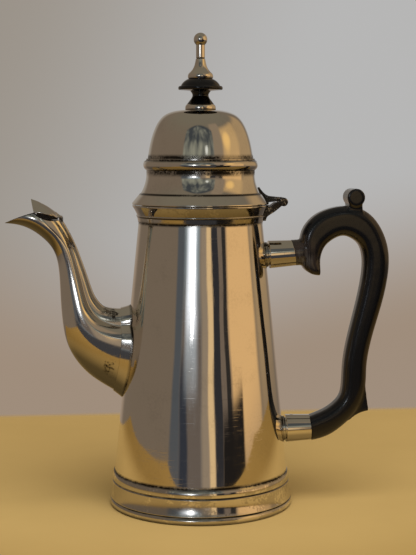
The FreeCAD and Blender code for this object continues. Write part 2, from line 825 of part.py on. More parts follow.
def socket_outside(mouth, reach, tilt, slant):
    """Filled taper of a socket, cut at its mouth."""
    length = reach - tube_start()
    taper = (SOCKET_MOUTH_R - SOCKET_ROOT_R) / length
    spare = SOCKET_MOUTH_R
    tube = Part.makeCone(
        SOCKET_ROOT_R,
        SOCKET_MOUTH_R + taper * spare,
        length + spare,
        V(tube_start(), 0, 0),
        V(1, 0, 0),
    )
    return set_along(tube, mouth, reach, tilt).cut(beyond_mouth(mouth, tilt + slant, True))


def socket_rod(radius, start, mouth, reach, tilt):
    """Rod along a socket's axis from a distance off the wall to past its mouth."""
    rod = Part.makeCylinder(radius, reach - start + SOCKET_MOUTH_R, V(start, 0, 0), V(1, 0, 0))
    return set_along(rod, mouth, reach, tilt)


def socket_pin(at, low, high, mouth, reach, tilt):
    """Pin across a socket's axis, between two heights."""
    pin = Part.makeCylinder(HANDLE_PIN_R, high - low, V(at, 0, low))
    return set_along(pin, mouth, reach, tilt)


def socket(mouth, reach, tilt, slant, pin):
    bore = socket_rod(SOCKET_BORE_R, tube_start() + SOCKET_BACK, mouth, reach, tilt)
    return socket_outside(mouth, reach, tilt, slant).cut(bore).cut(pin)


UPPER = (upper_mouth(), UPPER_SOCKET_REACH, UPPER_TILT)
LOWER = (lower_mouth(), lower_reach(), LOWER_TILT)


def upper_handle_pin():
    blind = socket_pin(UPPER_PIN_AT, -2 * SOCKET_ROOT_R, UPPER_PIN_DEPTH - SOCKET_ROOT_R, *UPPER)
    return blind.common(socket_outside(*UPPER, UPPER_SLANT))


def lower_handle_pin():
    through = socket_pin(LOWER_PIN_AT, -2 * SOCKET_ROOT_R, 2 * SOCKET_ROOT_R, *LOWER)
    return through.common(socket_outside(*LOWER, LOWER_SLANT))


# Handle


def handle_section(origin, back, finger, thick):
    """Rounded rectangle across the handle, from its back to its finger side."""
    back = origin + pt(*back)
    finger = origin + pt(*finger)
    depth = (finger - back).Length
    inward = (finger - back).normalize()
    corner = min(HANDLE_ROUND, depth * 0.42, thick * 0.42)
    cut = corner * (1 - math.sqrt(0.5))
    side = thick / 2

    def at(into, across):
        return back + inward * into + V(0, across, 0)

    edges = []
    for turn in (1, -1):
        near = 0 if turn > 0 else depth
        far = depth - near
        edges += [
            Part.LineSegment(at(near, -turn * (side - corner)), at(near, turn * (side - corner))).toShape(),
            Part.Arc(
                at(near, turn * (side - corner)),
                at(near + turn * cut, turn * (side - cut)),
                at(near + turn * corner, turn * side),
            ).toShape(),
            Part.LineSegment(
                at(near + turn * corner, turn * side),
                at(far - turn * corner, turn * side),
            ).toShape(),
            Part.Arc(
                at(far - turn * corner, turn * side),
                at(far - turn * cut, turn * (side - cut)),
                at(far, turn * (side - corner)),
            ).toShape(),
        ]
    return Part.Wire(edges)


def handle_grip():
    """The carved sweep from the beak over the top and down to the lower socket."""
    sections = []
    for index, (back, finger) in enumerate(UPPER_STATIONS):
        thick = BEAK_T if index == 0 else HANDLE_T
        sections.append(handle_section(upper_mouth(), back, finger, thick))
    for back, finger in LOWER_STATIONS:
        sections.append(handle_section(lower_mouth(), back, finger, HANDLE_T))
    return Part.makeLoft(sections, True, False)


def from_mouth(mouth, *points):
    """Outline points of the XZ plane measured from a socket's mouth."""
    return [(mouth.x + across, mouth.z + up) for across, up in points]


def thumb_scroll():
    mouth = upper_mouth()
    scroll = cross_rod(SCROLL_R, SCROLL_W, mouth + pt(*SCROLL_AT))
    scroll = scroll.makeFillet(SCROLL_ROUND, [edge for edge in scroll.Edges if edge.Closed])
    left, up = SCROLL_AT
    neck = plate(
        HANDLE_T - 2 * SCROLL_ROUND,
        *from_mouth(mouth, (left - SCROLL_R * 1.3, up - SCROLL_R * 1.6)),
        from_mouth(mouth, (left - SCROLL_R * 0.75, up - SCROLL_R * 0.85), (left - SCROLL_R * 0.7, up)),
        from_mouth(mouth, (left + SCROLL_R * 0.8, up)),
        from_mouth(
            mouth,
            (left + SCROLL_R * 0.75, up - SCROLL_R),
            (left + SCROLL_R * 0.95, up - SCROLL_R * 1.9),
        ),
    )
    return scroll.fuse(neck)


def heel():
    mouth = lower_mouth()
    return plate(
        HEEL_T,
        *from_mouth(mouth, HEEL_ROOT),
        from_mouth(mouth, HEEL_TOP),
        from_mouth(mouth, HEEL_BACK, HEEL_TIP),
        from_mouth(mouth, HEEL_POINT),
        from_mouth(mouth, HEEL_UNDER, HEEL_END),
        from_mouth(mouth, HEEL_INNER),
    )


def tenon(mouth, reach, tilt, lean):
    """Round end inside a socket, up to the mouth's plane."""
    start = tube_start() + SOCKET_BACK + TENON_END_GAP
    rod = socket_rod(SOCKET_BORE_R - TENON_GLUE, start, mouth, reach, tilt)
    return rod.cut(beyond_mouth(mouth, tilt + lean, True))


def handle():
    stub = socket_rod(STUB_R, 0, *UPPER)
    stub_reach = UPPER_SOCKET_REACH - SOCKET_MOUTH_R + STUB_L
    stub = stub.common(socket_rod(STUB_R, 0, upper_mouth(), stub_reach, UPPER_TILT))
    wood = handle_grip().fuse([stub, thumb_scroll(), heel()])
    wood = wood.cut(beyond_mouth(upper_mouth(), UPPER_TILT + UPPER_SLANT, False))
    wood = wood.cut(beyond_mouth(lower_mouth(), LOWER_TILT + LOWER_SLANT, False))
    wood = wood.fuse([tenon(*UPPER, UPPER_SLANT), tenon(*LOWER, LOWER_SLANT)])
    return wood.cut([upper_handle_pin(), lower_handle_pin()]).removeSplitter()


PIECES = {
    "foot_ring": foot_ring,
    "base_moulding": base_moulding,
    "body_floor": body_floor,
    "body_shell": body_shell,
    "rim_collar": rim_collar,
    "spout": spout,
    "spout_collar": spout_collar,
    "flap_hinge_lugs": flap_hinge_lugs,
    "flap_hinge_pin": flap_hinge_pin,
    "spout_flap": spout_flap,
    "upper_socket_base": lambda: socket_base(*UPPER),
    "upper_socket": lambda: socket(*UPPER, UPPER_SLANT, upper_handle_pin()),
    "upper_handle_pin": upper_handle_pin,
    "lower_socket_base": lambda: socket_base(*LOWER),
    "lower_socket": lambda: socket(*LOWER, LOWER_SLANT, lower_handle_pin()),
    "lower_handle_pin": lower_handle_pin,
    "handle": handle,
    "lid_hinge_bracket": lid_hinge_bracket,
    "lid_hinge_pin": lid_hinge_pin,
    "lid_hinge_strap": lid_hinge_strap,
    "lid_skirt": lid_skirt,
    "lid_bezel": lid_bezel,
    "lid_bead": lid_bead,
    "lid_dome": lid_dome,
    "finial_ring": finial_ring,
    "finial_insulator": finial_insulator,
    "finial_knob": finial_knob,
    "finial_stud": finial_stud,
    "finial_washer": finial_washer,
    "finial_nut": finial_nut,
}

os.makedirs("parts", exist_ok=True)
for name, build in PIECES.items():
    shape = build()
    shape.exportStep("parts/" + name + ".step")
    print(name, "solids", len(shape.Solids), "volume", round(shape.Volume, 2), "valid", shape.isValid())
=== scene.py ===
import math

import bmesh
import bpy
import numpy as np
from bpy.props import FloatProperty, FloatVectorProperty, PointerProperty
from mathutils import Matrix, Vector


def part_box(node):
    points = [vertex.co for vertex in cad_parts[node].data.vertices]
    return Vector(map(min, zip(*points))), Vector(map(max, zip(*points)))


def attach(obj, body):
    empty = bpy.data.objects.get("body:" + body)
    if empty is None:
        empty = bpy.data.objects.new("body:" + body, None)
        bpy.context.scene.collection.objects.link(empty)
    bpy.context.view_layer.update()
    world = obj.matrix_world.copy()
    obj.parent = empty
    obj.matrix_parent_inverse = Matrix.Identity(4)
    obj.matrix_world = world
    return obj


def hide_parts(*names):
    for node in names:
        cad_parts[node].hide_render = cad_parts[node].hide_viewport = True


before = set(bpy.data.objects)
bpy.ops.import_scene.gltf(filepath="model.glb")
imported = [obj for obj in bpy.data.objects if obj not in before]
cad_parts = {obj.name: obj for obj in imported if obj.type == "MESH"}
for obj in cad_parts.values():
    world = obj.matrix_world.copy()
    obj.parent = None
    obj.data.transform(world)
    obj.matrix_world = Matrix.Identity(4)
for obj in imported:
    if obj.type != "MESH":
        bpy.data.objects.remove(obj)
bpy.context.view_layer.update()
FOOT_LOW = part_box("foot_ring")[0]

bl_info = {
    "name": "Tapered Coffee Pot",
    "version": (1, 0, 0),
    "blender": (4, 5, 0),
    "location": "View3D > Sidebar > Coffee Pot",
    "description": "Builds a tapered plated coffee pot with its metal, wood and studio",
    "category": "Object",
}

MM = 0.001

POT_INNER = ("body_floor",)
LID_INNER = ("lid_bezel",)
FINIAL_INNER = ("finial_stud", "finial_washer", "finial_nut")
SPOUT_SMALL = ("flap_hinge_lugs", "flap_hinge_pin")
SOCKET_SMALL = ("upper_socket_base", "lower_socket_base", "upper_handle_pin")


def length(name, description, default):
    """Size property, given in millimetres."""
    return FloatProperty(
        name=name, description=description, default=default * MM, min=0.0, unit="LENGTH", precision=5
    )


def distance(name, description, default):
    """Property of a place in the studio, given in metres."""
    return FloatProperty(name=name, description=description, default=default, unit="LENGTH")


def angle(name, description, default):
    """Angle property, given in degrees."""
    return FloatProperty(name=name, description=description, default=math.radians(default), subtype="ANGLE")


def colour(name, description, default):
    """Colour property."""
    return FloatVectorProperty(
        name=name, description=description, default=default, subtype="COLOR", size=3, min=0.0, max=1.0
    )


class PotSizes(bpy.types.PropertyGroup):
    """Sizes of the turned, cast and carved pieces."""

    base_radius: length("Base radius", "Radius at the foot of the body", 44.55)
    top_radius: length("Top radius", "Radius at the top of the body", 31.6)
    body_height: length("Body height", "Height of the body's cone", 127.6)
    wall: length("Wall", "Thickness of the metal", 1.2)
    foot_height: length("Foot height", "Height of the foot ring", 3.6)
    band_height: length("Band height", "Height of the hollow band over the foot", 9.0)
    bead_height: length("Bead height", "Height of the bead over the band", 4.8)
    rim_height: length("Rim height", "Height of the rim collar", 8.9)
    brim_height: length("Brim height", "Height of the lid's sloping brim", 5.3)
    neck_height: length("Neck height", "Height of the lid's hollow neck", 11.8)
    lid_bead_height: length("Lid bead height", "Height of the lid's bead", 5.9)
    dome_height: length("Dome height", "Height of the lid's dome", 24.5)
    disc_radius: length("Disc radius", "Radius of the black disc", 11.3)
    knob_height: length("Knob height", "Height of the finial's knob", 23.0)
    ball_radius: length("Ball radius", "Radius of the ball on the knob", 3.45)
    edge_round: length("Edge round", "Softening of turned edges", 0.22)
    arris_round: length("Arris round", "Softening of the spout's arrises", 0.7)
    spout_wall: length("Spout wall", "Thickness of the spout's metal", 1.0)
    handle_thickness: length("Handle thickness", "Thickness of the wooden grip", 13.6)
    handle_grain: length("Handle mesh", "Mesh size of the carved grip", 0.5)
    scroll_radius: length("Scroll radius", "Radius of the thumb scroll", 4.6)


class PotColours(bpy.types.PropertyGroup):
    """Colours of the pot and of its studio."""

    silver: colour("Silver", "Clean plated metal", (0.83, 0.78, 0.70))
    # Painted shade: the dark colour that downward-facing metal is blended towards
    painted_under_shade: colour("Under film", "Metal on the sheltered undersides", (0.10, 0.10, 0.105))
    # Tarnish colour, used as well for the painted shade inside the spout and under its cover
    tarnish: colour("Tarnish", "Metal in the joint lines", (0.04, 0.034, 0.028))
    wood: colour("Wood", "Ebonised wood of the handle", (0.0035, 0.0035, 0.004))
    worn_wood: colour("Worn wood", "Wood where hands have rubbed the black away", (0.026, 0.018, 0.014))
    dry_wood: colour("Dry wood", "Crackled wood beside the upper socket", (0.085, 0.08, 0.075))
    insulator: colour("Insulator", "Black disc under the finial's knob", (0.002, 0.002, 0.0025))
    dust: colour("Dust", "Dust on the black disc", (0.006, 0.006, 0.006))
    # Painted pool of light: the floor has the first colour near the pot and is painted dimmer away from it
    floor: colour("Floor", "Floor near the pot", (0.57, 0.385, 0.14))
    floor_painted_dim: colour("Floor, far", "Floor away from the pot", (0.34, 0.21, 0.06))
    floor_mottle: colour("Floor mottle", "Faint darker patches of the floor", (0.2, 0.12, 0.03))
    backdrop: colour("Backdrop", "Plain background, lit side", (0.47, 0.468, 0.465))
    backdrop_dim: colour("Backdrop, dim", "Plain background, dim side", (0.325, 0.29, 0.25))
    backdrop_low: colour("Backdrop, low", "Plain background near the floor", (0.345, 0.265, 0.20))


class PotStudio(bpy.types.PropertyGroup):
    """Camera, lamp and floor of the studio."""

    lens: FloatProperty(name="Lens", description="Focal length in millimetres", default=83.4, min=20, max=200)
    camera_at: FloatVectorProperty(
        name="Camera", description="Place of the camera", subtype="TRANSLATION", unit="LENGTH", size=3,
        default=(-0.0571, -0.6527, 0.1834),
    )
    camera_pitch: angle("Pitch", "Downward tilt of the camera", 5.83)
    camera_yaw: angle("Yaw", "Turn of the camera to the right", 5.33)
    floor_back: distance("Floor back", "Back edge of the floor", 0.222)
    floor_front: distance("Floor front", "Front edge of the floor", -0.215)
    floor_left: distance("Floor left", "Left edge of the floor", -0.40)
    floor_right: distance("Floor right", "Right edge of the floor", 0.62)
    floor_slant: distance("Floor slant", "How much nearer the front edge lies at its left end", 0.165)
    key_power: FloatProperty(
        name="Key light", description="Power of the soft light in watts", default=27.0, min=0
    )


# Node helpers

MIX_FIRST = 6
MIX_SECOND = 7
MIX_RESULT = 2


def new_material(name):
    """Empty node material and its tree."""
    material = bpy.data.materials.new(name)
    material.use_nodes = True
    return material, material.node_tree


def add(tree, kind, **values):
    """Node of a kind, with its properties set."""
    node = tree.nodes.new(kind)
    for key, value in values.items():
        setattr(node, key, value)
    return node


def feed(tree, source, target):
    """Links an output socket to an input socket, or sets a plain value."""
    if isinstance(source, bpy.types.NodeSocket):
        tree.links.new(source, target)
    else:
        target.default_value = source


def reckon(tree, operation, first, second=0.0, third=0.0, clamp=False):
    """Result of one sum on one to three values."""
    node = add(tree, "ShaderNodeMath", operation=operation, use_clamp=clamp)
    for value, socket in zip((first, second, third), node.inputs):
        feed(tree, value, socket)
    return node.outputs[0]


def ease(tree, value, low, high):
    """Smooth step from 0 at low to 1 at high."""
    node = add(tree, "ShaderNodeMapRange", interpolation_type="SMOOTHSTEP")
    feed(tree, value, node.inputs["Value"])
    feed(tree, low, node.inputs["From Min"])
    feed(tree, high, node.inputs["From Max"])
    return node.outputs["Result"]


def blend(tree, share, first, second):
    """Colour between two, by a share."""
    node = add(tree, "ShaderNodeMix", data_type="RGBA")
    feed(tree, share, node.inputs["Factor"])
    feed(tree, first, node.inputs[MIX_FIRST])
    feed(tree, second, node.inputs[MIX_SECOND])
    return node.outputs[MIX_RESULT]


def noise(tree, where, scale=1.0, detail=3.0, stretch=None, roughness=0.5):
    """Noise value at a place; a stretch holds its scales along three axes and their turns."""
    if stretch is not None:
        mapping = add(tree, "ShaderNodeMapping")
        feed(tree, where, mapping.inputs["Vector"])
        mapping.inputs["Scale"].default_value, mapping.inputs["Rotation"].default_value = stretch
        where = mapping.outputs[0]
    node = add(tree, "ShaderNodeTexNoise")
    feed(tree, where, node.inputs["Vector"])
    node.inputs["Scale"].default_value = scale
    node.inputs["Detail"].default_value = detail
    node.inputs["Roughness"].default_value = roughness
    return node.outputs["Fac"]


def bump(tree, height, strength, depth, normal=None):
    """Normal roughened by a height."""
    node = add(tree, "ShaderNodeBump")
    feed(tree, height, node.inputs["Height"])
    node.inputs["Strength"].default_value = strength
    node.inputs["Distance"].default_value = depth
    if normal is not None:
        feed(tree, normal, node.inputs["Normal"])
    return node.outputs["Normal"]


def rgba(tint):
    """Opaque colour of three shares."""
    return (tint[0], tint[1], tint[2], 1.0)


# Finishes

# Noise scales count waves to the metre, depths are in metres, and a range runs from no effect to full effect

CLOUD_SCALE = 60.0
SPECK_SCALE = 900.0
CLOUD_SHARE = 0.7
SPECK_SHARE = 0.3
FILM_RANGE = (0.50, 0.72)
FILM_SHARE = 0.10
STAIN_RANGE = (0.40, 0.56)
STAIN_LEAST = 0.5
STAIN_MORE = 0.6
SPOT_RANGE = (0.70, 0.82)
SPOT_PULL = 0.5
POLISH_RANGE = (0.51, 0.61)
POLISH_SHARE = 0.8
# Range of the normal's downward lean over which metal takes the painted shade
UNDER_SHADE_RANGE = (-0.05, -0.45)
HAIR_RANGE = (0.60, 0.74)
HAIR_STRETCHES = (
    ((2600.0, 90.0, 90.0), (0.3, 0.5, 0.2)),
    ((90.0, 110.0, 2400.0), (0.9, 0.2, 0.7)),
)
HAIR_STRENGTH = 0.04
HAIR_DEPTH = 0.00004
WAVE_STRETCH = ((45.0, 45.0, 16.0), (0.0, 0.0, 0.0))
WAVE_DEPTH = 0.0015
CLOUD_ROUGH = 0.04
HAIR_ROUGH = 0.05
TARNISH_ROUGH = 0.30

GRAIN_STRETCH = ((900.0, 900.0, 60.0), (0.0, 0.15, 0.0))
GRAIN_STRENGTH = 0.20
GRAIN_DEPTH = 0.0002
WOOD_CLOUD_SCALE = 90.0
WOOD_CLOUD_STRENGTH = 0.12
POLISH_STRENGTH = 0.10
WOOD_CLOUD_DEPTH = 0.0006
PATCH_SHARE = 0.5
WORN_RANGE = (0.34, 0.58)
DRY_WEAR_RANGE = (1.0, 1.6)
DRY_RANGE = (0.42, 0.58)
WOOD_ROUGH = 0.26
GRAIN_ROUGH = 0.14
WORN_ROUGH = 0.20

TURNING_STRETCH = ((40.0, 40.0, 3000.0), (0.0, 0.0, 0.0))
TURNING_STRENGTH = 0.10
TURNING_DEPTH = 0.0001
DUST_SCALE = 250.0
DUST_RANGE = (0.5, 0.8)
DISC_ROUGH = 0.04
DUST_ROUGH = 0.06


def near_line(tree, stain, value, middle, width):
    """Adds a soft line to a stain where a value comes near its middle, both in millimetres."""
    off = reckon(tree, "ABSOLUTE", reckon(tree, "SUBTRACT", value, middle * MM))
    return reckon(tree, "MAXIMUM", stain, ease(tree, off, width * MM, 0.0))


def joint_stain(tree, place, sizes, levels, gaps):
    """Stain that gathers at heights, and at distances out from the body's cone, each with a width."""
    split = add(tree, "ShaderNodeSeparateXYZ")
    feed(tree, place, split.inputs[0])
    across, depth, up = split.outputs
    stain = 0.0
    for height, width in levels:
        stain = near_line(tree, stain, up, height, width)
    if gaps:
        taper = (sizes.top_radius - sizes.base_radius) / sizes.body_height
        base = sizes.foot_height + sizes.band_height + sizes.bead_height
        wall = reckon(tree, "MULTIPLY_ADD", reckon(tree, "SUBTRACT", up, base), taper, sizes.base_radius)
        square = reckon(tree, "MULTIPLY_ADD", across, across, reckon(tree, "MULTIPLY", depth, depth))
        gap = reckon(tree, "SUBTRACT", reckon(tree, "SQRT", square), wall)
        for out, width in gaps:
            stain = near_line(tree, stain, gap, out, width)
    return stain


def tarnish_and_shade_share(tree, mottle, stain, dull):
    """Share of dark metal: stained joints, painted spots of tarnish and of painted shade, a thin film and
    what polishing has left.
    """
    broken = reckon(tree, "MULTIPLY_ADD", ease(tree, mottle, *STAIN_RANGE), STAIN_MORE, STAIN_LEAST)
    stain = reckon(tree, "MULTIPLY", stain, broken, clamp=True)
    painted = add(tree, "ShaderNodeAttribute", attribute_name="tarnish").outputs["Fac"]
    spots = ease(tree, reckon(tree, "MULTIPLY_ADD", painted, SPOT_PULL, mottle), *SPOT_RANGE)
    film = reckon(tree, "MULTIPLY", ease(tree, mottle, *FILM_RANGE), FILM_SHARE)
    share = reckon(tree, "MAXIMUM", reckon(tree, "MAXIMUM", stain, spots), film)
    if dull:
        polish = reckon(tree, "MULTIPLY", ease(tree, mottle, *POLISH_RANGE), POLISH_SHARE)
        share = reckon(tree, "MAXIMUM", share, reckon(tree, "SUBTRACT", dull, polish))
    return share


def silver_finish(scene, name, levels=(), gaps=(), dull=0.0, haze=0.02, waves=0.20, painted_shade_share=0.62):
    """Polished plate: faint waves, hairline scratches, painted shade on the undersides and tarnish in the
    joints.
    """
    if name in bpy.data.materials:
        return bpy.data.materials[name]
    colours = scene.pot_colours
    material, tree = new_material(name)
    shader = tree.nodes["Principled BSDF"]
    where = add(tree, "ShaderNodeTexCoord")
    place = where.outputs["Object"]
    cloud = noise(tree, place, CLOUD_SCALE, detail=4.0)
    speck = noise(tree, place, SPECK_SCALE, detail=2.0)
    mottle = reckon(tree, "MULTIPLY_ADD", cloud, CLOUD_SHARE, reckon(tree, "MULTIPLY", speck, SPECK_SHARE))
    stain = joint_stain(tree, place, scene.pot_sizes, levels, gaps)
    share = tarnish_and_shade_share(tree, mottle, stain, dull)
    # Painted shade: metal is darkened where its normal faces downwards
    split = add(tree, "ShaderNodeSeparateXYZ")
    feed(tree, where.outputs["Normal"], split.inputs[0])
    under = reckon(tree, "MULTIPLY", ease(tree, split.outputs["Z"], *UNDER_SHADE_RANGE), painted_shade_share)
    metal = blend(tree, under, rgba(colours.silver), rgba(colours.painted_under_shade))
    feed(tree, blend(tree, share, metal, rgba(colours.tarnish)), shader.inputs["Base Color"])
    shader.inputs["Metallic"].default_value = 1.0
    hairs = [noise(tree, place, detail=2.0, stretch=stretch) for stretch in HAIR_STRETCHES]
    hair = reckon(tree, "MAXIMUM", *[ease(tree, value, *HAIR_RANGE) for value in hairs])
    rough = reckon(tree, "MULTIPLY_ADD", cloud, CLOUD_ROUGH, haze)
    rough = reckon(tree, "MULTIPLY_ADD", hair, HAIR_ROUGH, rough)
    rough = reckon(tree, "MULTIPLY_ADD", share, TARNISH_ROUGH, rough)
    feed(tree, rough, shader.inputs["Roughness"])
    wave = bump(tree, noise(tree, place, detail=1.0, stretch=WAVE_STRETCH), waves, WAVE_DEPTH)
    feed(tree, bump(tree, hair, HAIR_STRENGTH, HAIR_DEPTH, wave), shader.inputs["Normal"])
    return material


def wood_finish(scene):
    """Black wood with a grain along the grip, rubbed and dry places and a soft polish."""
    colours = scene.pot_colours
    material, tree = new_material("ebonised_wood")
    shader = tree.nodes["Principled BSDF"]
    place = add(tree, "ShaderNodeTexCoord").outputs["Object"]
    wear = add(tree, "ShaderNodeAttribute", attribute_name="wear").outputs["Fac"]
    grain = noise(tree, place, detail=4.0, stretch=GRAIN_STRETCH, roughness=0.6)
    cloud = noise(tree, place, WOOD_CLOUD_SCALE)
    patch = reckon(tree, "MULTIPLY_ADD", grain, PATCH_SHARE, reckon(tree, "MULTIPLY", cloud, PATCH_SHARE))
    worn = reckon(tree, "MULTIPLY", wear, ease(tree, patch, *WORN_RANGE), clamp=True)
    dry = reckon(tree, "MULTIPLY", ease(tree, wear, *DRY_WEAR_RANGE), ease(tree, patch, *DRY_RANGE))
    tone = blend(tree, worn, rgba(colours.wood), rgba(colours.worn_wood))
    feed(tree, blend(tree, dry, tone, rgba(colours.dry_wood)), shader.inputs["Base Color"])
    rough = reckon(tree, "MULTIPLY_ADD", grain, GRAIN_ROUGH, WOOD_ROUGH)
    rough = reckon(tree, "MULTIPLY_ADD", worn, WORN_ROUGH, rough)
    feed(tree, rough, shader.inputs["Roughness"])
    shader.inputs["Specular IOR Level"].default_value = 0.1
    shader.inputs["Coat Weight"].default_value = 1.0
    shader.inputs["Coat IOR"].default_value = 1.45
    shader.inputs["Coat Roughness"].default_value = 0.13
    grooves = bump(tree, grain, GRAIN_STRENGTH, GRAIN_DEPTH)
    feed(tree, bump(tree, cloud, WOOD_CLOUD_STRENGTH, WOOD_CLOUD_DEPTH, grooves), shader.inputs["Normal"])
    feed(tree, bump(tree, cloud, POLISH_STRENGTH, WOOD_CLOUD_DEPTH), shader.inputs["Coat Normal"])
    return material


def insulator_finish(scene):
    """Black turned disc with a high polish and faint turning lines."""
    colours = scene.pot_colours
    material, tree = new_material("black_insulator")
    shader = tree.nodes["Principled BSDF"]
    place = add(tree, "ShaderNodeTexCoord").outputs["Object"]
    lines = noise(tree, place, detail=2.0, stretch=TURNING_STRETCH)
    cloud = noise(tree, place, DUST_SCALE)
    dust = ease(tree, cloud, *DUST_RANGE)
    feed(tree, blend(tree, dust, rgba(colours.insulator), rgba(colours.dust)), shader.inputs["Base Color"])
    feed(tree, reckon(tree, "MULTIPLY_ADD", cloud, DUST_ROUGH, DISC_ROUGH), shader.inputs["Roughness"])
    feed(tree, bump(tree, lines, TURNING_STRENGTH, TURNING_DEPTH), shader.inputs["Normal"])
    return material


def dress(nodes, material):
    """Gives CAD nodes a finish."""
    for name in nodes:
        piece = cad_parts[name]
        piece.data.materials.clear()
        piece.data.materials.append(material)


# Outlines and meshes, in millimetres until a mesh is made

ROUND_STEPS = 160
ROD_STEPS = 48
ARC_STEP = 0.5
ARC_STEPS_LEAST = 6
CURVE_STEPS = 10
STRAIGHT_ANGLE = math.radians(172)
ROUND_SHARE = 0.45
ROUND_AT = (0.0, 0.25, 0.5, 0.75, 1.0)
NO_LENGTH = 1e-6
FLAT_ARC = 1e-9
MERGE_DISTANCE = 1e-8
AXIS_NEAR = 0.01
PLACE_COLUMNS = 5


def ramp(value, start, span):
    """Share of the way from a start over a span, held between 0 and 1."""
    return min(max((value - start) / span, 0.0), 1.0)


def arc_points(first, middle, last):
    """Points of the arc through three places."""
    (ax, ay), (bx, by), (cx, cy) = first, middle, last
    twice = 2 * (ax * (by - cy) + bx * (cy - ay) + cx * (ay - by))
    if abs(twice) < FLAT_ARC:
        return [first, last]
    a2, b2, c2 = ax * ax + ay * ay, bx * bx + by * by, cx * cx + cy * cy
    ux = (a2 * (by - cy) + b2 * (cy - ay) + c2 * (ay - by)) / twice
    uy = (a2 * (cx - bx) + b2 * (ax - cx) + c2 * (bx - ax)) / twice
    radius = math.hypot(ax - ux, ay - uy)
    start = math.atan2(ay - uy, ax - ux)
    mid = (math.atan2(by - uy, bx - ux) - start) % math.tau
    sweep = (math.atan2(cy - uy, cx - ux) - start) % math.tau
    if mid > sweep:
        sweep -= math.tau
    count = max(ARC_STEPS_LEAST, int(abs(sweep) * radius / ARC_STEP))
    turns = [start + sweep * share / count for share in range(count + 1)]
    return [(ux + radius * math.cos(turn), uy + radius * math.sin(turn)) for turn in turns]


def smooth_rows(rows, per_span):
    """Rows run smoothly through the given rows, as a natural cubic curve by the chord of their places."""
    rows = np.array(rows, dtype=float)
    gaps = np.linalg.norm(np.diff(rows[:, :PLACE_COLUMNS], axis=0), axis=1)
    count = len(rows)
    system = np.zeros((count, count))
    right = np.zeros_like(rows)
    system[0, 0] = system[-1, -1] = 1.0
    for i in range(1, count - 1):
        before, after = gaps[i - 1], gaps[i]
        system[i, i - 1], system[i, i], system[i, i + 1] = before, 2 * (before + after), after
        right[i] = 6 * ((rows[i + 1] - rows[i]) / after - (rows[i] - rows[i - 1]) / before)
    bend = np.linalg.solve(system, right)
    out = []
    for i in range(count - 1):
        gap = gaps[i]
        for share in np.linspace(0.0, 1.0, per_span, endpoint=False):
            t = share * gap
            rest = gap - t
            row = (bend[i] * rest**3 + bend[i + 1] * t**3) / (6 * gap)
            row += (rows[i] / gap - bend[i] * gap / 6) * rest
            row += (rows[i + 1] / gap - bend[i + 1] * gap / 6) * t
            out.append(row)
    out.append(rows[-1])
    return out


def trace(start, *steps):
    """Points of a closed outline, and which of them are corners.

    Each step is a line to one place, an arc through two, or a smooth curve through more.
    """
    points, corners = [], []
    here = start
    for step in list(steps) + [[start]]:
        places = [here] + list(step)
        if len(places) == 2:
            run = places
        elif len(places) == 3:
            run = arc_points(*places)
        else:
            run = [tuple(row) for row in smooth_rows(places, CURVE_STEPS)]
        points += run[:-1]
        corners += [True] + [False] * (len(run) - 2)
        here = places[-1]
    return points, corners


def outline_of(start, *steps):
    """Points of a closed outline."""
    return trace(start, *steps)[0]


def off_axis(outline):
    """Outline of a turned piece whose corners on the axis stay sharp."""
    points, corners = outline
    return points, [corner and place[0] > AXIS_NEAR for corner, place in zip(corners, points)]


def soften(points, corners, radius, always=False, closed=True):
    """Outline with its corners rounded off."""
    out = []
    count = len(points)
    for i, place in enumerate(points):
        ends = not closed and i in (0, count - 1)
        if ends or not corners[i]:
            out.append(place)
            continue
        here = Vector(place)
        back = Vector(points[i - 1]) - here
        on = Vector(points[(i + 1) % count]) - here
        reach = min(radius, ROUND_SHARE * back.length, ROUND_SHARE * on.length)
        tiny = min(back.length, on.length) < NO_LENGTH
        if not always and (tiny or back.angle(on) > STRAIGHT_ANGLE):
            out.append(place)
            continue
        back.normalize()
        on.normalize()
        for share in ROUND_AT:
            out.append(tuple(here + back * (reach * (1 - share) ** 2) + on * (reach * share**2)))
    return out


def mesh_from(name, points, faces):
    """Mesh in metres from points in millimetres, with faces turned outwards."""
    mesh = bpy.data.meshes.new(name)
    mesh.from_pydata([tuple(c * MM for c in point) for point in points], [], faces)
    grid = bmesh.new()
    grid.from_mesh(mesh)
    bmesh.ops.remove_doubles(grid, verts=grid.verts, dist=MERGE_DISTANCE)
    bmesh.ops.recalc_face_normals(grid, faces=grid.faces)
    grid.to_mesh(mesh)
    grid.free()
    mesh.shade_smooth()
    return mesh


def lathe(name, outline, place=None, segments=ROUND_STEPS):
    """Mesh turned from an outline of radius and height; a place may set where each point goes."""
    points, faces, rings = [], [], []
    for radius, height in outline:
        ring = []
        for i in range(1 if radius < NO_LENGTH else segments):
            turn = math.tau * i / segments
            if place:
                point = place(radius, height, turn)
            else:
                point = (radius * math.cos(turn), radius * math.sin(turn), height)
            ring.append(len(points))
            points.append(point)
        rings.append(ring)
    for ring, above in zip(rings, rings[1:] + rings[:1]):
        if len(ring) == 1 and len(above) == 1:
            continue
        for i in range(segments):
            j = (i + 1) % segments
            if len(ring) == 1:
                faces.append((ring[0], above[j], above[i]))
            elif len(above) == 1:
                faces.append((ring[i], ring[j], above[0]))
            else:
                faces.append((ring[i], ring[j], above[j], above[i]))
    return mesh_from(name, points, faces)


def loft(name, rings):
    """Closed mesh through rings of equal count."""
    count = len(rings[0])
    points = [point for ring in rings for point in ring]
    faces = []
    for level in range(len(rings) - 1):
        low, high = level * count, (level + 1) * count
        for i in range(count):
            j = (i + 1) % count
            faces.append((low + i, low + j, high + j, high + i))
    faces.append(tuple(range(count)))
    faces.append(tuple((len(rings) - 1) * count + i for i in range(count)))
    return mesh_from(name, points, faces)


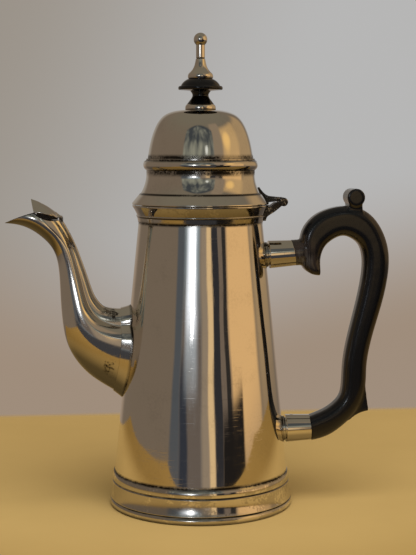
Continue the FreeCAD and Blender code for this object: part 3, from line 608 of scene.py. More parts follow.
def slab(name, outline, width, taper=None):
    """Plate of an XZ outline, centred on the XZ plane; a taper may narrow it by place."""
    rings = []
    for side in (-0.5, 0.5):
        rings.append([(x, side * width * (taper(x, z) if taper else 1.0), z) for x, z in outline])
    return loft(name, rings)


def rod_outline(radius, width, edge):
    """Outline of a turned rod with rounded ends, about its middle."""
    half = width / 2
    outline = off_axis(trace((0, -half), [(radius, -half)], [(radius, half)], [(0, half)]))
    return soften(*outline, edge)


def cross_rod(name, radius, width, centre, edge):
    """Rod across the pot, centred on a point of the XZ plane."""

    def place(r, h, turn):
        return (centre[0] + r * math.cos(turn), h, centre[1] + r * math.sin(turn))

    return lathe(name, rod_outline(radius, width, edge), place, ROD_STEPS)


def loose(mesh):
    """Object for a mesh, linked to the scene."""
    thing = bpy.data.objects.new(mesh.name, mesh)
    bpy.context.scene.collection.objects.link(thing)
    return thing


def settle(thing):
    """Applies an object's modifiers to its mesh."""
    graph = bpy.context.evaluated_depsgraph_get()
    mesh = bpy.data.meshes.new_from_object(thing.evaluated_get(graph))
    thing.modifiers.clear()
    old = thing.data
    thing.data = mesh
    mesh.name = thing.name
    bpy.data.meshes.remove(old)


def carve(thing, mesh, operation):
    """Cuts, joins or keeps the common part of an object and a mesh."""
    tool = loose(mesh)
    step = thing.modifiers.new("carve", "BOOLEAN")
    step.operation = operation
    step.solver = "EXACT"
    step.object = tool
    settle(thing)
    bpy.data.objects.remove(tool)
    bpy.data.meshes.remove(mesh)


def seat(thing, body, nodes, material, sharp=None, even=True):
    """Finishes a piece and sets it on its body in place of its CAD nodes."""
    thing.data.materials.clear()
    thing.data.materials.append(material)
    thing.data.shade_smooth()
    if sharp is not None:
        thing.data.set_sharp_from_angle(angle=math.radians(sharp))
    if even:
        step = thing.modifiers.new("even_normals", "WEIGHTED_NORMAL")
        step.keep_sharp = True
        step.weight = 80
    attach(thing, body)
    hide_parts(*nodes)


# Heights and radii, in millimetres

SEAT_LEDGE = 0.4
RIM_OUT = 3.1
RIM_LEDGE = 0.1
LID_GAP = 0.3
BRIM_OVERHANG = 0.1
BRIM_IN = 3.9
NECK_STEP = 0.45
NECK_IN = 3.4
LID_BEAD_OUT = 1.6
DOME_IN = 0.7
BEZEL_GAP = 0.4
RING_H = 2.8
INSULATOR_H = 12.7
LID_AXIS_OUT = 7.3
LID_AXIS_UP = 1.0
SPOUT_ROOT_Z = 79.0


class Levels:
    """Heights and radii of the turned pieces, in millimetres."""

    def __init__(self, sizes):
        for key in PotSizes.__annotations__:
            setattr(self, key, getattr(sizes, key) / MM)
        self.base_top = self.foot_height + self.band_height + self.bead_height
        self.body_top = self.base_top + self.body_height
        self.base_bore = self.base_radius - self.wall - SEAT_LEDGE
        self.rim_top = self.body_top + self.rim_height
        self.rim_r = self.top_radius + RIM_OUT
        self.rim_bore = self.top_radius - self.wall - RIM_LEDGE
        self.lid_z = self.rim_top + LID_GAP
        self.brim_r = self.rim_r + BRIM_OVERHANG
        self.neck_z = self.lid_z + self.brim_height
        self.neck_foot_r = self.brim_r - BRIM_IN - NECK_STEP
        self.neck_r = self.brim_r - BRIM_IN - NECK_IN
        self.lid_bead_z = self.neck_z + self.neck_height
        self.lid_bead_r = self.neck_r + LID_BEAD_OUT
        self.dome_z = self.lid_bead_z + self.lid_bead_height
        self.dome_r = self.neck_r - DOME_IN
        self.bezel_r = self.rim_bore - BEZEL_GAP
        self.finial_z = self.dome_z + self.dome_height
        self.ring_top = self.finial_z + RING_H
        self.knob_z = self.ring_top + INSULATOR_H

    def body_r(self, height):
        """Outer radius of the body's cone at a height."""
        widening = self.top_radius - self.base_radius
        return self.base_radius + widening * (height - self.base_top) / self.body_height

    def cone(self, grown=0.0):
        """Outline of the body's filled cone."""
        return [
            (0, self.base_top),
            (self.base_radius + grown, self.base_top),
            (self.top_radius + grown, self.body_top),
            (0, self.body_top),
        ]

    def spout_xz(self, *places):
        """Points of the XZ plane, from distance out and height at the spout's root."""
        return [(-self.body_r(SPOUT_ROOT_Z) - out, SPOUT_ROOT_Z + up) for out, up in places]

    def from_spout(self, place):
        """Distance out and height at the spout's root, from a point in space."""
        return -place.x - self.body_r(SPOUT_ROOT_Z), place.z - SPOUT_ROOT_Z

    def lid_axis(self):
        """Point of the XZ plane that the lid turns about."""
        return (self.rim_r + LID_AXIS_OUT, self.lid_z + LID_AXIS_UP)


def turned(scene, name, body, outline, material):
    """Turned piece in place of the CAD node of the same name."""
    edge = scene.pot_sizes.edge_round / MM
    mesh = lathe("pot_" + name, soften(*outline, edge))
    seat(loose(mesh), body, (name,), material)


# Body

FOOT_OUT = 2.6
FOOT_EDGE = 0.8
FOOT_SWELL = 0.4
FLOOR_LEDGE = 1.8
BAND_LOW_OUT = 2.3
BAND_TOP_OUT = 1.15
BAND_DIP = 0.3
GROOVE = 0.45
BEAD_OUT = 1.1
BEAD_TOP_OUT = 0.2
RIM_FOOT_OUT = 0.15
RIM_RIDGE_OUT = 1.15
RIM_RIDGE_UP = 3.4
RIM_STEP = 0.4
RIM_LIP = 0.8
RIM_LINE_UP = 2.9
SHELL_EDGE = 0.1
PORT_R = 9.0
PORT_NEAR = -20.0
PORT_FAR = -60.0
PORT_STEPS = 64


def foot_outline(at):
    """Half-round ring that the pot stands on."""
    outer = at.base_radius + FOOT_OUT
    inner = at.base_bore - FLOOR_LEDGE
    return trace(
        (inner, 0),
        [(outer - FOOT_EDGE, 0)],
        [(outer, at.foot_height * FOOT_SWELL), (outer - FOOT_EDGE, at.foot_height)],
        [(inner, at.foot_height)],
    )


def base_outline(at):
    """Hollow band between two grooves, with a bead over it."""
    low, top = at.base_radius + BAND_LOW_OUT, at.base_radius + BAND_TOP_OUT
    bead, foot = at.base_radius + BEAD_OUT, at.foot_height
    band_top = foot + at.band_height
    return trace(
        (at.base_bore, foot),
        [(low - GROOVE, foot)],
        [(low, foot + GROOVE)],
        [((low + top) / 2 - BAND_DIP, foot + at.band_height / 2), (top, band_top - GROOVE)],
        [(top - GROOVE, band_top)],
        [(bead, band_top + GROOVE)],
        [(bead, band_top + at.bead_height / 2), (at.base_radius + BEAD_TOP_OUT, at.base_top)],
        [(at.base_bore, at.base_top)],
    )


def shell_outline(at):
    """Straight wall of the body."""
    return trace(
        (at.base_radius - at.wall, at.base_top),
        [(at.base_radius, at.base_top)],
        [(at.top_radius, at.body_top)],
        [(at.top_radius - at.wall, at.body_top)],
    )


def rim_outline(at):
    """Flared collar with a ridge, a hollow and a lip."""
    ridge, ridge_z = at.top_radius + RIM_RIDGE_OUT, at.body_top + RIM_RIDGE_UP
    lip_z = at.rim_top - RIM_LIP
    hollow = ((ridge + at.rim_r) / 2 - RIM_STEP, (ridge_z + RIM_STEP + lip_z) / 2)
    return trace(
        (at.rim_bore, at.body_top),
        [(at.top_radius + RIM_FOOT_OUT, at.body_top)],
        [(ridge - RIM_STEP, ridge_z - RIM_STEP)],
        [(ridge, ridge_z), (ridge - RIM_STEP, ridge_z + RIM_STEP)],
        [hollow, (at.rim_r, lip_z)],
        [(at.rim_r, at.rim_top)],
        [(at.rim_bore, at.rim_top)],
    )


class POT_OT_body(bpy.types.Operator):
    """Turn the body, its base and its rim"""

    bl_idname = "pot.body"
    bl_label = "Body"

    def execute(self, context):
        scene = context.scene
        at = Levels(scene.pot_sizes)
        # Heights and widths of the dark lines at the joints
        seams = (
            (at.foot_height, 0.9),
            (at.foot_height + at.band_height, 0.8),
            (at.base_top, 1.5),
            (at.body_top, 1.4),
            (at.body_top + RIM_LINE_UP, 0.7),
        )
        body_metal = silver_finish(scene, "body_silver", seams, waves=0.30)
        base_metal = silver_finish(scene, "base_silver", seams, dull=0.35)
        rim_metal = silver_finish(scene, "rim_silver", seams, dull=0.25)
        dress(POT_INNER, body_metal)
        turned(scene, "foot_ring", "pot", foot_outline(at), base_metal)
        turned(scene, "base_moulding", "pot", base_outline(at), base_metal)
        turned(scene, "rim_collar", "pot", rim_outline(at), rim_metal)
        shell = loose(lathe("pot_body_shell", soften(*shell_outline(at), SHELL_EDGE)))

        def through_wall(radius, height, turn):
            return (height, radius * math.cos(turn), SPOUT_ROOT_Z + radius * math.sin(turn))

        port = [(0, PORT_FAR), (PORT_R, PORT_FAR), (PORT_R, PORT_NEAR), (0, PORT_NEAR)]
        carve(shell, lathe("port", port, through_wall, PORT_STEPS), "DIFFERENCE")
        seat(shell, "pot", ("body_shell",), body_metal, sharp=40)
        return {"FINISHED"}


# Lid

BRIM_EDGE = 0.6
NECK_BOW = 0.55
NECK_WAIST = 0.38
NECK_TOP = 0.8
BEZEL_T = 1.1
LID_BEAD_LIP = 0.75
LID_BEAD_LOW = 0.13
LID_BEAD_MIDDLE = 0.42
LID_BEAD_HIGH = 0.8
LID_BEAD_STEP = 0.86
DOME_SIDE_IN = 1.25
DOME_SIDE_UP = 7.15
DOME_SHOULDER_IN = 3.4
DOME_SHOULDER_UP = 14.3
DOME_CROWN_IN = 8.4
DOME_CROWN_UP = 21.6
DOME_TOP_IN = 14.2
DOME_TOP_DROP = 0.55
CROWN_WALL_IN = 0.6
CROWN_WALL_DOWN = 0.8
RING_R = 7.8
STUD_BORE = 1.55


def skirt_outline(at):
    """Sloping brim and hollow neck, with the same hollow inside."""
    waist_r = (at.neck_foot_r + at.neck_r) / 2 - NECK_BOW
    waist_z = at.neck_z + at.neck_height * NECK_WAIST
    straight_z = at.neck_z + at.neck_height * NECK_TOP
    return trace(
        (at.brim_r, at.lid_z),
        [(at.brim_r, at.lid_z + BRIM_EDGE)],
        [(at.brim_r - BRIM_IN, at.neck_z)],
        [(at.neck_foot_r, at.neck_z)],
        [(waist_r, waist_z), (at.neck_r, straight_z)],
        [(at.neck_r, at.lid_bead_z)],
        [(at.neck_r - at.wall, at.lid_bead_z)],
        [(at.neck_r - at.wall, straight_z)],
        [(waist_r - at.wall, waist_z), (at.neck_foot_r - at.wall, at.neck_z)],
        [(at.bezel_r - BEZEL_T, at.lid_z)],
    )


def lid_bead_outline(at):
    """Half-round bead with a step for the dome."""
    z, high = at.lid_bead_z, at.lid_bead_height
    inner, lip = at.lid_bead_r - LID_BEAD_LIP, at.dome_r + LID_BEAD_LIP
    return trace(
        (at.neck_r - at.wall, z),
        [(at.neck_r, z)],
        [(inner, z + high * LID_BEAD_LOW)],
        [(at.lid_bead_r, z + high * LID_BEAD_MIDDLE), (inner, z + high * LID_BEAD_HIGH)],
        [(lip, z + high * LID_BEAD_STEP)],
        [(lip, at.dome_z)],
        [(at.dome_r - at.wall, at.dome_z)],
    )


def dome_curve(at, inset):
    """Places along the bell from its foot to the finial's seat, moved inwards by a wall."""
    crown_in = DOME_CROWN_IN + inset * CROWN_WALL_IN
    return [
        (at.dome_r - inset, at.dome_z),
        (at.dome_r - DOME_SIDE_IN - inset, at.dome_z + DOME_SIDE_UP),
        (at.dome_r - DOME_SHOULDER_IN - inset, at.dome_z + DOME_SHOULDER_UP),
        (at.dome_r - crown_in, at.dome_z + DOME_CROWN_UP - inset * CROWN_WALL_DOWN),
        (at.dome_r - DOME_TOP_IN, at.finial_z - DOME_TOP_DROP - inset),
        (RING_R, at.finial_z - inset),
    ]


def dome_outline(at):
    """Bell with an even wall and a bore for the finial's stud."""
    outside = dome_curve(at, 0.0)
    inside = dome_curve(at, at.wall)[::-1]
    return trace(
        outside[0],
        outside[1:],
        [(STUD_BORE, at.finial_z)],
        [(STUD_BORE, at.finial_z - at.wall)],
        [inside[0]],
        inside[1:],
    )


class POT_OT_lid(bpy.types.Operator):
    """Turn the lid's brim, bead and dome"""

    bl_idname = "pot.lid"
    bl_label = "Lid"

    def execute(self, context):
        scene = context.scene
        at = Levels(scene.pot_sizes)
        # Heights and widths of the dark lines at the joints
        seams = (
            (at.neck_z, 0.9),
            (at.lid_bead_z - 0.8, 2.8),
            (at.dome_z - 0.8, 1.3),
            (at.dome_z + 0.7, 2.0),
        )
        metal = silver_finish(scene, "lid_silver", seams)
        dress(LID_INNER, metal)
        turned(scene, "lid_skirt", "lid", skirt_outline(at), metal)
        turned(scene, "lid_bead", "lid", lid_bead_outline(at), metal)
        turned(scene, "lid_dome", "lid", dome_outline(at), metal)
        return {"FINISHED"}


# Lid hinge

HINGE_BARREL = 2.2
HINGE_T = 1.2
HINGE_EDGE = 0.3
HINGE_EDGE_ANGLE = math.radians(35)
HINGE_DULL = 0.97
BRACKET_W = 9.4
BRACKET_ROOT_IN = 0.7
BRACKET_ROOT_UP = 0.6
BRACKET_DROP = 0.65
STRAP_W = 8.6
STRAP_ARM_W = 4.4
STRAP_RISE = 0.36
STRAP_ARM_EDGE = 0.1
STRAP_BORE = 0.95
STRAP_BORE_W = 6.0
SPEAR_FROM = 2.0
SPEAR_TAPER = 0.75
SPEAR_CURVE = 1.6
KNUCKLE_W = 3.0
KNUCKLE_SIDE = 4.0
KNUCKLE_EDGE = 0.3
CLEARANCE = 0.3
CLEARANCE_W = 5.0
BRACKET_BORE = 0.9
BRACKET_BORE_W = 12.0


def hinge_plate(name, outline, width, taper=None):
    """Cast hinge plate with softened edges."""
    plate = loose(slab(name, outline, width, taper))
    edge = plate.modifiers.new("edge", "BEVEL")
    edge.width = HINGE_EDGE * MM
    edge.segments = 2
    edge.limit_method = "ANGLE"
    edge.angle_limit = HINGE_EDGE_ANGLE
    settle(plate)
    return plate


class POT_OT_hinge(bpy.types.Operator):
    """Cast the two halves of the lid's hinge"""

    bl_idname = "pot.hinge"
    bl_label = "Lid hinge"

    def execute(self, context):
        scene = context.scene
        at = Levels(scene.pot_sizes)
        metal = silver_finish(scene, "hinge_silver", dull=HINGE_DULL)
        self.make_bracket(at, metal)
        self.make_strap(at, metal)
        dress(("lid_hinge_pin",), metal)
        return {"FINISHED"}

    def make_bracket(self, at, metal):
        """Pot's half: a curved plate under two knuckles."""
        x, z = at.lid_axis()
        low = z + HINGE_T * 0.25 - BRACKET_DROP
        root, root_z = at.top_radius - BRACKET_ROOT_IN, at.body_top + BRACKET_ROOT_UP
        under_rim = at.rim_top - HINGE_T
        outline = outline_of(
            (root, root_z),
            [(at.top_radius + 1.35, root_z)],
            [
                (at.top_radius + 1.9, at.body_top + 2.4),
                (at.rim_r + 1.1, at.body_top + at.rim_height * 0.47),
                (x - HINGE_BARREL * 0.4, z - HINGE_BARREL * 0.9),
            ],
            [(x, z)],
            [(x - HINGE_BARREL * 0.5, low)],
            [(at.rim_r + 3.4, low)],
            [(at.rim_r + 2.2, at.rim_top), (at.rim_r, under_rim)],
            [(root, under_rim)],
        )
        bracket = hinge_plate("pot_lid_hinge_bracket", outline, BRACKET_W)
        clearance = cross_rod("clearance", HINGE_BARREL + CLEARANCE, CLEARANCE_W, (x, z), 0.0)
        carve(bracket, clearance, "DIFFERENCE")
        for side in (-1, 1):
            knuckle = cross_rod("knuckle", HINGE_BARREL, KNUCKLE_W, (x, z), KNUCKLE_EDGE)
            knuckle.transform(Matrix.Translation((0, side * KNUCKLE_SIDE * MM, 0)))
            carve(bracket, knuckle, "UNION")
        carve(bracket, cross_rod("bore", BRACKET_BORE, BRACKET_BORE_W, (x, z), 0.0), "DIFFERENCE")
        seat(bracket, "pot", ("lid_hinge_bracket",), metal, sharp=38)

    def make_strap(self, at, metal):
        """Lid's half: a leaf on the brim that narrows to a point, with an arm to the middle knuckle."""
        x, z = at.lid_axis()
        low, top = z + HINGE_T * 0.25, z + HINGE_BARREL
        end = x - HINGE_BARREL - HINGE_T
        tip_z = at.neck_z + HINGE_T * 2.7
        outline = outline_of(
            (at.brim_r - 1.0, at.lid_z + 0.75),
            [(end, low)],
            [(end, top + STRAP_RISE)],
            [
                (at.brim_r - 1.36, at.lid_z + at.brim_height * 0.86),
                (at.neck_foot_r + 0.84, at.neck_z + HINGE_T),
                (at.neck_foot_r - 0.48, tip_z),
            ],
            [(at.neck_foot_r - 1.5, tip_z - 0.6)],
            [(at.neck_foot_r - 0.75, at.neck_z - 0.2)],
        )
        start = at.lid_z + SPEAR_FROM

        def spear(_, height):
            return 1.0 - SPEAR_TAPER * ramp(height, start, tip_z - start) ** SPEAR_CURVE

        leaf = hinge_plate("pot_lid_hinge_strap", outline, STRAP_W, spear)
        arm = trace((end - HINGE_T, low), [(x, low)], [(x, top)], [(end - HINGE_T, top + STRAP_RISE)])
        carve(leaf, slab("arm", soften(*arm, STRAP_ARM_EDGE), STRAP_ARM_W), "UNION")
        carve(leaf, cross_rod("knuckle", HINGE_BARREL, STRAP_ARM_W, (x, z), KNUCKLE_EDGE), "UNION")
        carve(leaf, cross_rod("bore", STRAP_BORE, STRAP_BORE_W, (x, z), 0.0), "DIFFERENCE")
        seat(leaf, "lid", ("lid_hinge_strap",), metal, sharp=38)


# Finial

RING_TOP_R = 6.9
RING_EDGE_UP = 0.84
RING_SHOULDER = (7.53, 2.1)
WAIST = ((5.5, 1.84), (4.1, 4.6), (5.225, 6.625))
DISC_LOW = 7.1
DISC_MIDDLE = 8.05
DISC_TOP = 9.0
DISC_LIP = 0.38
DISC_BRIM = 1.2
DISC_BULGE = 0.4
KNOB_SEAT_R = 6.1
FLANGE_R = 6.45
FLANGE_MIDDLE = 1.16
FLANGE_H = 2.9
FLANGE_IN = 0.17
STEM_R = 2.25
STEM_FLARE = ((0.43, 0.25), (0.22, 0.49))
STEM_FOOT_OUT = 0.15
KNOB_GROOVE_UP = 10.2
KNOB_GROOVE = 0.3


def ring_outline(at):
    """Low ring between the dome and the black disc."""
    z = at.finial_z
    return trace(
        (STUD_BORE, z),
        [(RING_R, z)],
        [(RING_R, z + RING_EDGE_UP)],
        [(RING_SHOULDER[0], z + RING_SHOULDER[1]), (RING_TOP_R, at.ring_top)],
        [(STUD_BORE, at.ring_top)],
    )


def insulator_outline(at):
    """Waisted foot under a thin disc with a domed top."""
    z, disc = at.ring_top, at.disc_radius
    rim_top, brim = z + DISC_TOP, disc - DISC_BRIM
    bulge = ((brim + KNOB_SEAT_R) / 2 + DISC_BULGE, (rim_top + at.knob_z) / 2 + DISC_BULGE)
    return trace(
        (STUD_BORE, z),
        [(RING_TOP_R, z)],
        [(radius, z + up) for radius, up in WAIST],
        [(disc - DISC_LIP, z + DISC_LOW)],
        [(disc, z + DISC_MIDDLE), (disc - DISC_LIP, rim_top)],
        [(brim, rim_top)],
        [bulge, (KNOB_SEAT_R, at.knob_z)],
        [(STUD_BORE, at.knob_z)],
    )


def knob_outline(at):
    """Flange, flared foot, groove, stem and ball."""
    z = at.knob_z
    flange_top, groove_z = z + FLANGE_H, z + KNOB_GROOVE_UP
    rise, flare = groove_z - flange_top, FLANGE_R - STEM_R
    ball_z = z + at.knob_height - at.ball_radius
    ball_foot = ball_z - math.sqrt(at.ball_radius**2 - STEM_R**2)
    sweep = [(STEM_R + flare * out, flange_top + rise * up) for out, up in STEM_FLARE]
    outline = trace(
        (0, z),
        [(KNOB_SEAT_R, z)],
        [(FLANGE_R, z + FLANGE_MIDDLE), (FLANGE_R - flare * FLANGE_IN, flange_top)],
        sweep + [(STEM_R + STEM_FOOT_OUT, groove_z - KNOB_GROOVE)],
        [(STEM_R - KNOB_GROOVE, groove_z)],
        [(STEM_R, groove_z + KNOB_GROOVE)],
        [(STEM_R, ball_foot)],
        [(at.ball_radius, ball_z), (0, z + at.knob_height)],
    )
    return off_axis(outline)


class POT_OT_finial(bpy.types.Operator):
    """Turn the finial's ring, black disc and knob"""

    bl_idname = "pot.finial"
    bl_label = "Finial"

    def execute(self, context):
        scene = context.scene
        at = Levels(scene.pot_sizes)
        # Heights and widths of the dark lines at the joints
        seams = ((at.finial_z, 0.9), (at.knob_z + KNOB_GROOVE_UP, 0.4))
        metal = silver_finish(scene, "finial_silver", seams, waves=0.03)
        black = insulator_finish(scene)
        dress(FINIAL_INNER, metal)
        turned(scene, "finial_ring", "lid", ring_outline(at), metal)
        turned(scene, "finial_insulator", "lid", insulator_outline(at), black)
        turned(scene, "finial_knob", "lid", knob_outline(at), metal)
        return {"FINISHED"}


# Spout and its cover

# Stations along the spout: its lower point and its upper point, as distance out from the body's wall and
# height above the root, half its width, its two arrises as shares of the section's height, and the turn of
# its belly in degrees
SPOUT_STATIONS = (
    (-4.3, -27.0, -8.3, 24.0, 11.7, 0.66, 0.80, 104),
    (8.4, -18.7, 3.0, 22.2, 11.8, 0.66, 0.80, 103),
    (18.6, -11.7, 9.6, 23.1, 11.8, 0.65, 0.80, 102),
    (25.9, -3.5, 12.7, 25.1, 11.4, 0.63, 0.79, 100),
    (30.1, 5.0, 15.2, 28.5, 10.7, 0.61, 0.78, 97),
    (32.3, 16.4, 17.4, 33.7, 9.6, 0.60, 0.77, 95),
    (33.1, 28.0, 19.7, 40.5, 8.3, 0.60, 0.77, 96),
    (33.6, 39.5, 22.5, 48.4, 7.3, 0.60, 0.77, 98),
    (35.1, 48.9, 25.5, 56.0, 6.7, 0.60, 0.78, 102),
    (38.0, 54.6, 28.5, 62.1, 6.6, 0.60, 0.79, 108),
    (42.1, 58.8, 31.7, 67.6, 7.0, 0.60, 0.79, 115),
    (49.1, 63.4, 40.2, 75.0, 7.0, 0.60, 0.79, 115),
    (55.2, 65.3, 50.7, 76.0, 4.8, 0.60, 0.79, 115),
    (60.5, 65.9, 59.2, 70.5, 1.2, 0.60, 0.79, 115),
)
SPOUT_ROWS = 16
SPOUT_ROOF = 1.8
BELLY_STEPS = 12
PANEL_STEPS = 4
PANEL_BOW = 0.08
CROWN_STEPS = 6
CROWN_WIDTH = 0.62
COLLAR_FLARES = (2.8, 0.4, 0.3, 0.3)
COLLAR_ROWS = 10
COLLAR_REACH = 5.0
COLLAR_FIT = 0.02

# Side view of the beak and the mouth, as distance out and height at the spout's root
BEAK_FAR = (61.5, 65.7)
BEAK_TIP = (60.5, 66.1)
BEAK_EDGE = ((53.0, 68.9), (46.0, 70.9))
MOUTH_RIM = ((39.5, 67.5), (34.0, 67.2))
MOUTH_BACK = (29.0, 67.3)
CUTTER_TOP = 110.0
CUTTER_W = 40.0

# Stations along the cover: its ridge and its edge, as distance out and height at the spout's root, and half
# its width
FLAP_STATIONS = (
    (34.2, 70.9, 34.3, 69.6, 1.5),
    (36.4, 72.7, 35.7, 70.0, 5.4),
    (41.2, 75.6, 40.4, 71.3, 7.4),
    (47.4, 78.1, 46.0, 72.2, 6.6),
)
FLAP_TAB = ((32.5, 69.5, 32.6, 69.0, 1.5), (34.6, 71.1, 34.6, 69.7, 1.5))
FLAP_AXIS = (32.4, 68.6)
FLAP_ROWS = 8
FLAP_BOW = 0.35
TAB_BOW = 0.1
FULL_BOW_HALF = 6.6
SLOPE_STEPS = 8
SLOPE_END_UP = 0.3
SLOPE_END_IN = 0.4
ROLL_TURNS = range(30, 181, 25)
ROLL_DROP = 0.35
ROLL_DEEP = 0.45
ROLL_WIDE = 0.35
FLAP_T = 0.8
PLUG_HEEL = (34.0, 67.75)
PLUG_LOW = (40.6, 67.65)
PLUG_CURVE = ((42.9, 68.2), (44.4, 69.4))
PLUG_TOP = ((44.4, 72.2), (34.0, 69.6))
PLUG_W = 9.0
FLAP_BARREL = 1.0
FLAP_BARREL_W = 3.0
FLAP_BARREL_EDGE = 0.15
FLAP_BORE = 0.5
FLAP_BORE_W = 4.0

# Tarnish on the spout, and painted shade inside the spout and under the cover: most of it, its fading by the
# millimetre, and where it gathers
ROOT_TARNISH = 0.55
ROOT_FADE = 0.05
ROOT_OUT = 6.0
ROOT_UP = 14.0
CROWN_TARNISH = 0.50
CROWN_FADE = 0.025
CROWN_UP = 52.0
CROWN_FACING = 0.3
CROWN_ASIDE = 0.4
BELLY_TARNISH = 0.66
BELLY_FADE = 0.045
BELLY_PLACE = (9.0, -8.0)
BELLY_FACING = 0.1
INSIDE_SHADE_FACING = -0.5
COVER_SHADE_PLACE = (35.0, 69.1)
COVER_SHADE_SLOPE = 0.24
COVER_SHADE_FACING = -0.3


def mirrored(start, way, run):
    """Ring from one half, given as distances along a line of the XZ plane and aside from it."""
    ring = []
    for along, aside in run + [(along, -aside) for along, aside in run[-2:0:-1]]:
        spot = start + way * along
        ring.append((spot.x, aside, spot.y))
    return ring


def spout_ring(at, station, skin, roof):
    """Ring round the spout: round belly, a bowed panel between two arrises on each side, round crown."""
    low_out, low_up, high_out, high_up, half, low_share, high_share, turn_end = station
    low, high = (Vector(place) for place in at.spout_xz((low_out, low_up), (high_out, high_up)))
    span = (high - low).length - skin - roof
    rise = (high - low).normalized()
    half -= skin
    end = math.radians(turn_end)
    belly = low_share * span / (1 - math.cos(end))
    swell = half / math.sin(min(end, math.pi / 2))
    run = []
    for i in range(BELLY_STEPS + 1):
        turn = end * i / BELLY_STEPS
        run.append((belly * (1 - math.cos(turn)), swell * math.sin(turn)))
    low_arris = Vector(run[-1])
    high_arris = Vector((high_share * span, half * CROWN_WIDTH))
    chord = high_arris - low_arris
    outward = Vector((-chord.y, chord.x)).normalized()
    bow = PANEL_BOW * chord.length
    for i in range(1, PANEL_STEPS + 1):
        share = i / PANEL_STEPS
        run.append(tuple(low_arris + chord * share + outward * (bow * 4 * share * (1 - share))))
    drop = (1 - high_share) * span
    crown_r = ((half * CROWN_WIDTH) ** 2 + drop**2) / (2 * drop)
    crown_turn = math.acos(1 - drop / crown_r)
    for i in range(1, CROWN_STEPS + 1):
        turn = crown_turn * (1 - i / CROWN_STEPS)
        run.append((span - crown_r * (1 - math.cos(turn)), crown_r * math.sin(turn)))
    arrises = (BELLY_STEPS, BELLY_STEPS + PANEL_STEPS)
    corners = [i in arrises for i in range(len(run))]
    run = soften(run, corners, at.arris_round, always=True, closed=False)
    return mirrored(low + rise * skin, rise, run)


def spout_body(name, at, skin, roof):
    """Filled spout between its stations."""
    return loft(name, [spout_ring(at, row, skin, roof) for row in smooth_rows(SPOUT_STATIONS, SPOUT_ROWS)])


def mouth_cutter(at):
    """Everything above the beak's edges and the mouth's rim."""
    far, tip, back = at.spout_xz(BEAK_FAR, BEAK_TIP, MOUTH_BACK)
    back_top, far_top = at.spout_xz((MOUTH_BACK[0], CUTTER_TOP), (BEAK_FAR[0], CUTTER_TOP))
    edge, rim = at.spout_xz(*BEAK_EDGE), at.spout_xz(*MOUTH_RIM)
    return slab("mouth_cutter", outline_of(far, [tip], edge, rim, [back], [back_top], [far_top]), CUTTER_W)


def collar_body(at):
    """Filled spout near its root, flared towards the body."""
    rows = [station + (flare,) for station, flare in zip(SPOUT_STATIONS, COLLAR_FLARES)]
    rings = []
    for *station, flare in smooth_rows(rows, COLLAR_ROWS):
        rings.append(spout_ring(at, station, -flare, -flare))
    return loft("pot_spout_collar", rings)


def flap_ring(at, station, bow):
    """Ring round the cover: two bowed slopes that meet at a ridge, a rolled rim and a flat underside."""
    ridge_out, ridge_up, edge_out, edge_up, half = station
    ridge, edge = (Vector(place) for place in at.spout_xz((ridge_out, ridge_up), (edge_out, edge_up)))
    down = (edge - ridge).normalized()
    drop = (edge - ridge).length
    bow = bow * half / FULL_BOW_HALF
    run = []
    for i in range(SLOPE_STEPS + 1):
        share = i / SLOPE_STEPS
        depth = (drop - SLOPE_END_UP) * share - bow * 4 * share * (1 - share)
        run.append((depth, (half - SLOPE_END_IN) * share))
    for degrees in ROLL_TURNS:
        turn = math.radians(degrees)
        depth = drop + ROLL_DROP - ROLL_DEEP * math.cos(turn)
        run.append((depth, half - ROLL_WIDE + ROLL_WIDE * math.sin(turn)))
    run += [(drop + FLAP_T, half / 2), (drop + FLAP_T, 0.0)]
    return mirrored(ridge, down, run)


def paint(thing, name, value):
    """Stores a number for each point of a mesh, found from its place in millimetres and its normal."""
    mesh = thing.data
    layer = mesh.attributes.new(name, "FLOAT", "POINT")
    for vertex, cell in zip(mesh.vertices, layer.data):
        cell.value = value(vertex.co / MM, vertex.normal)


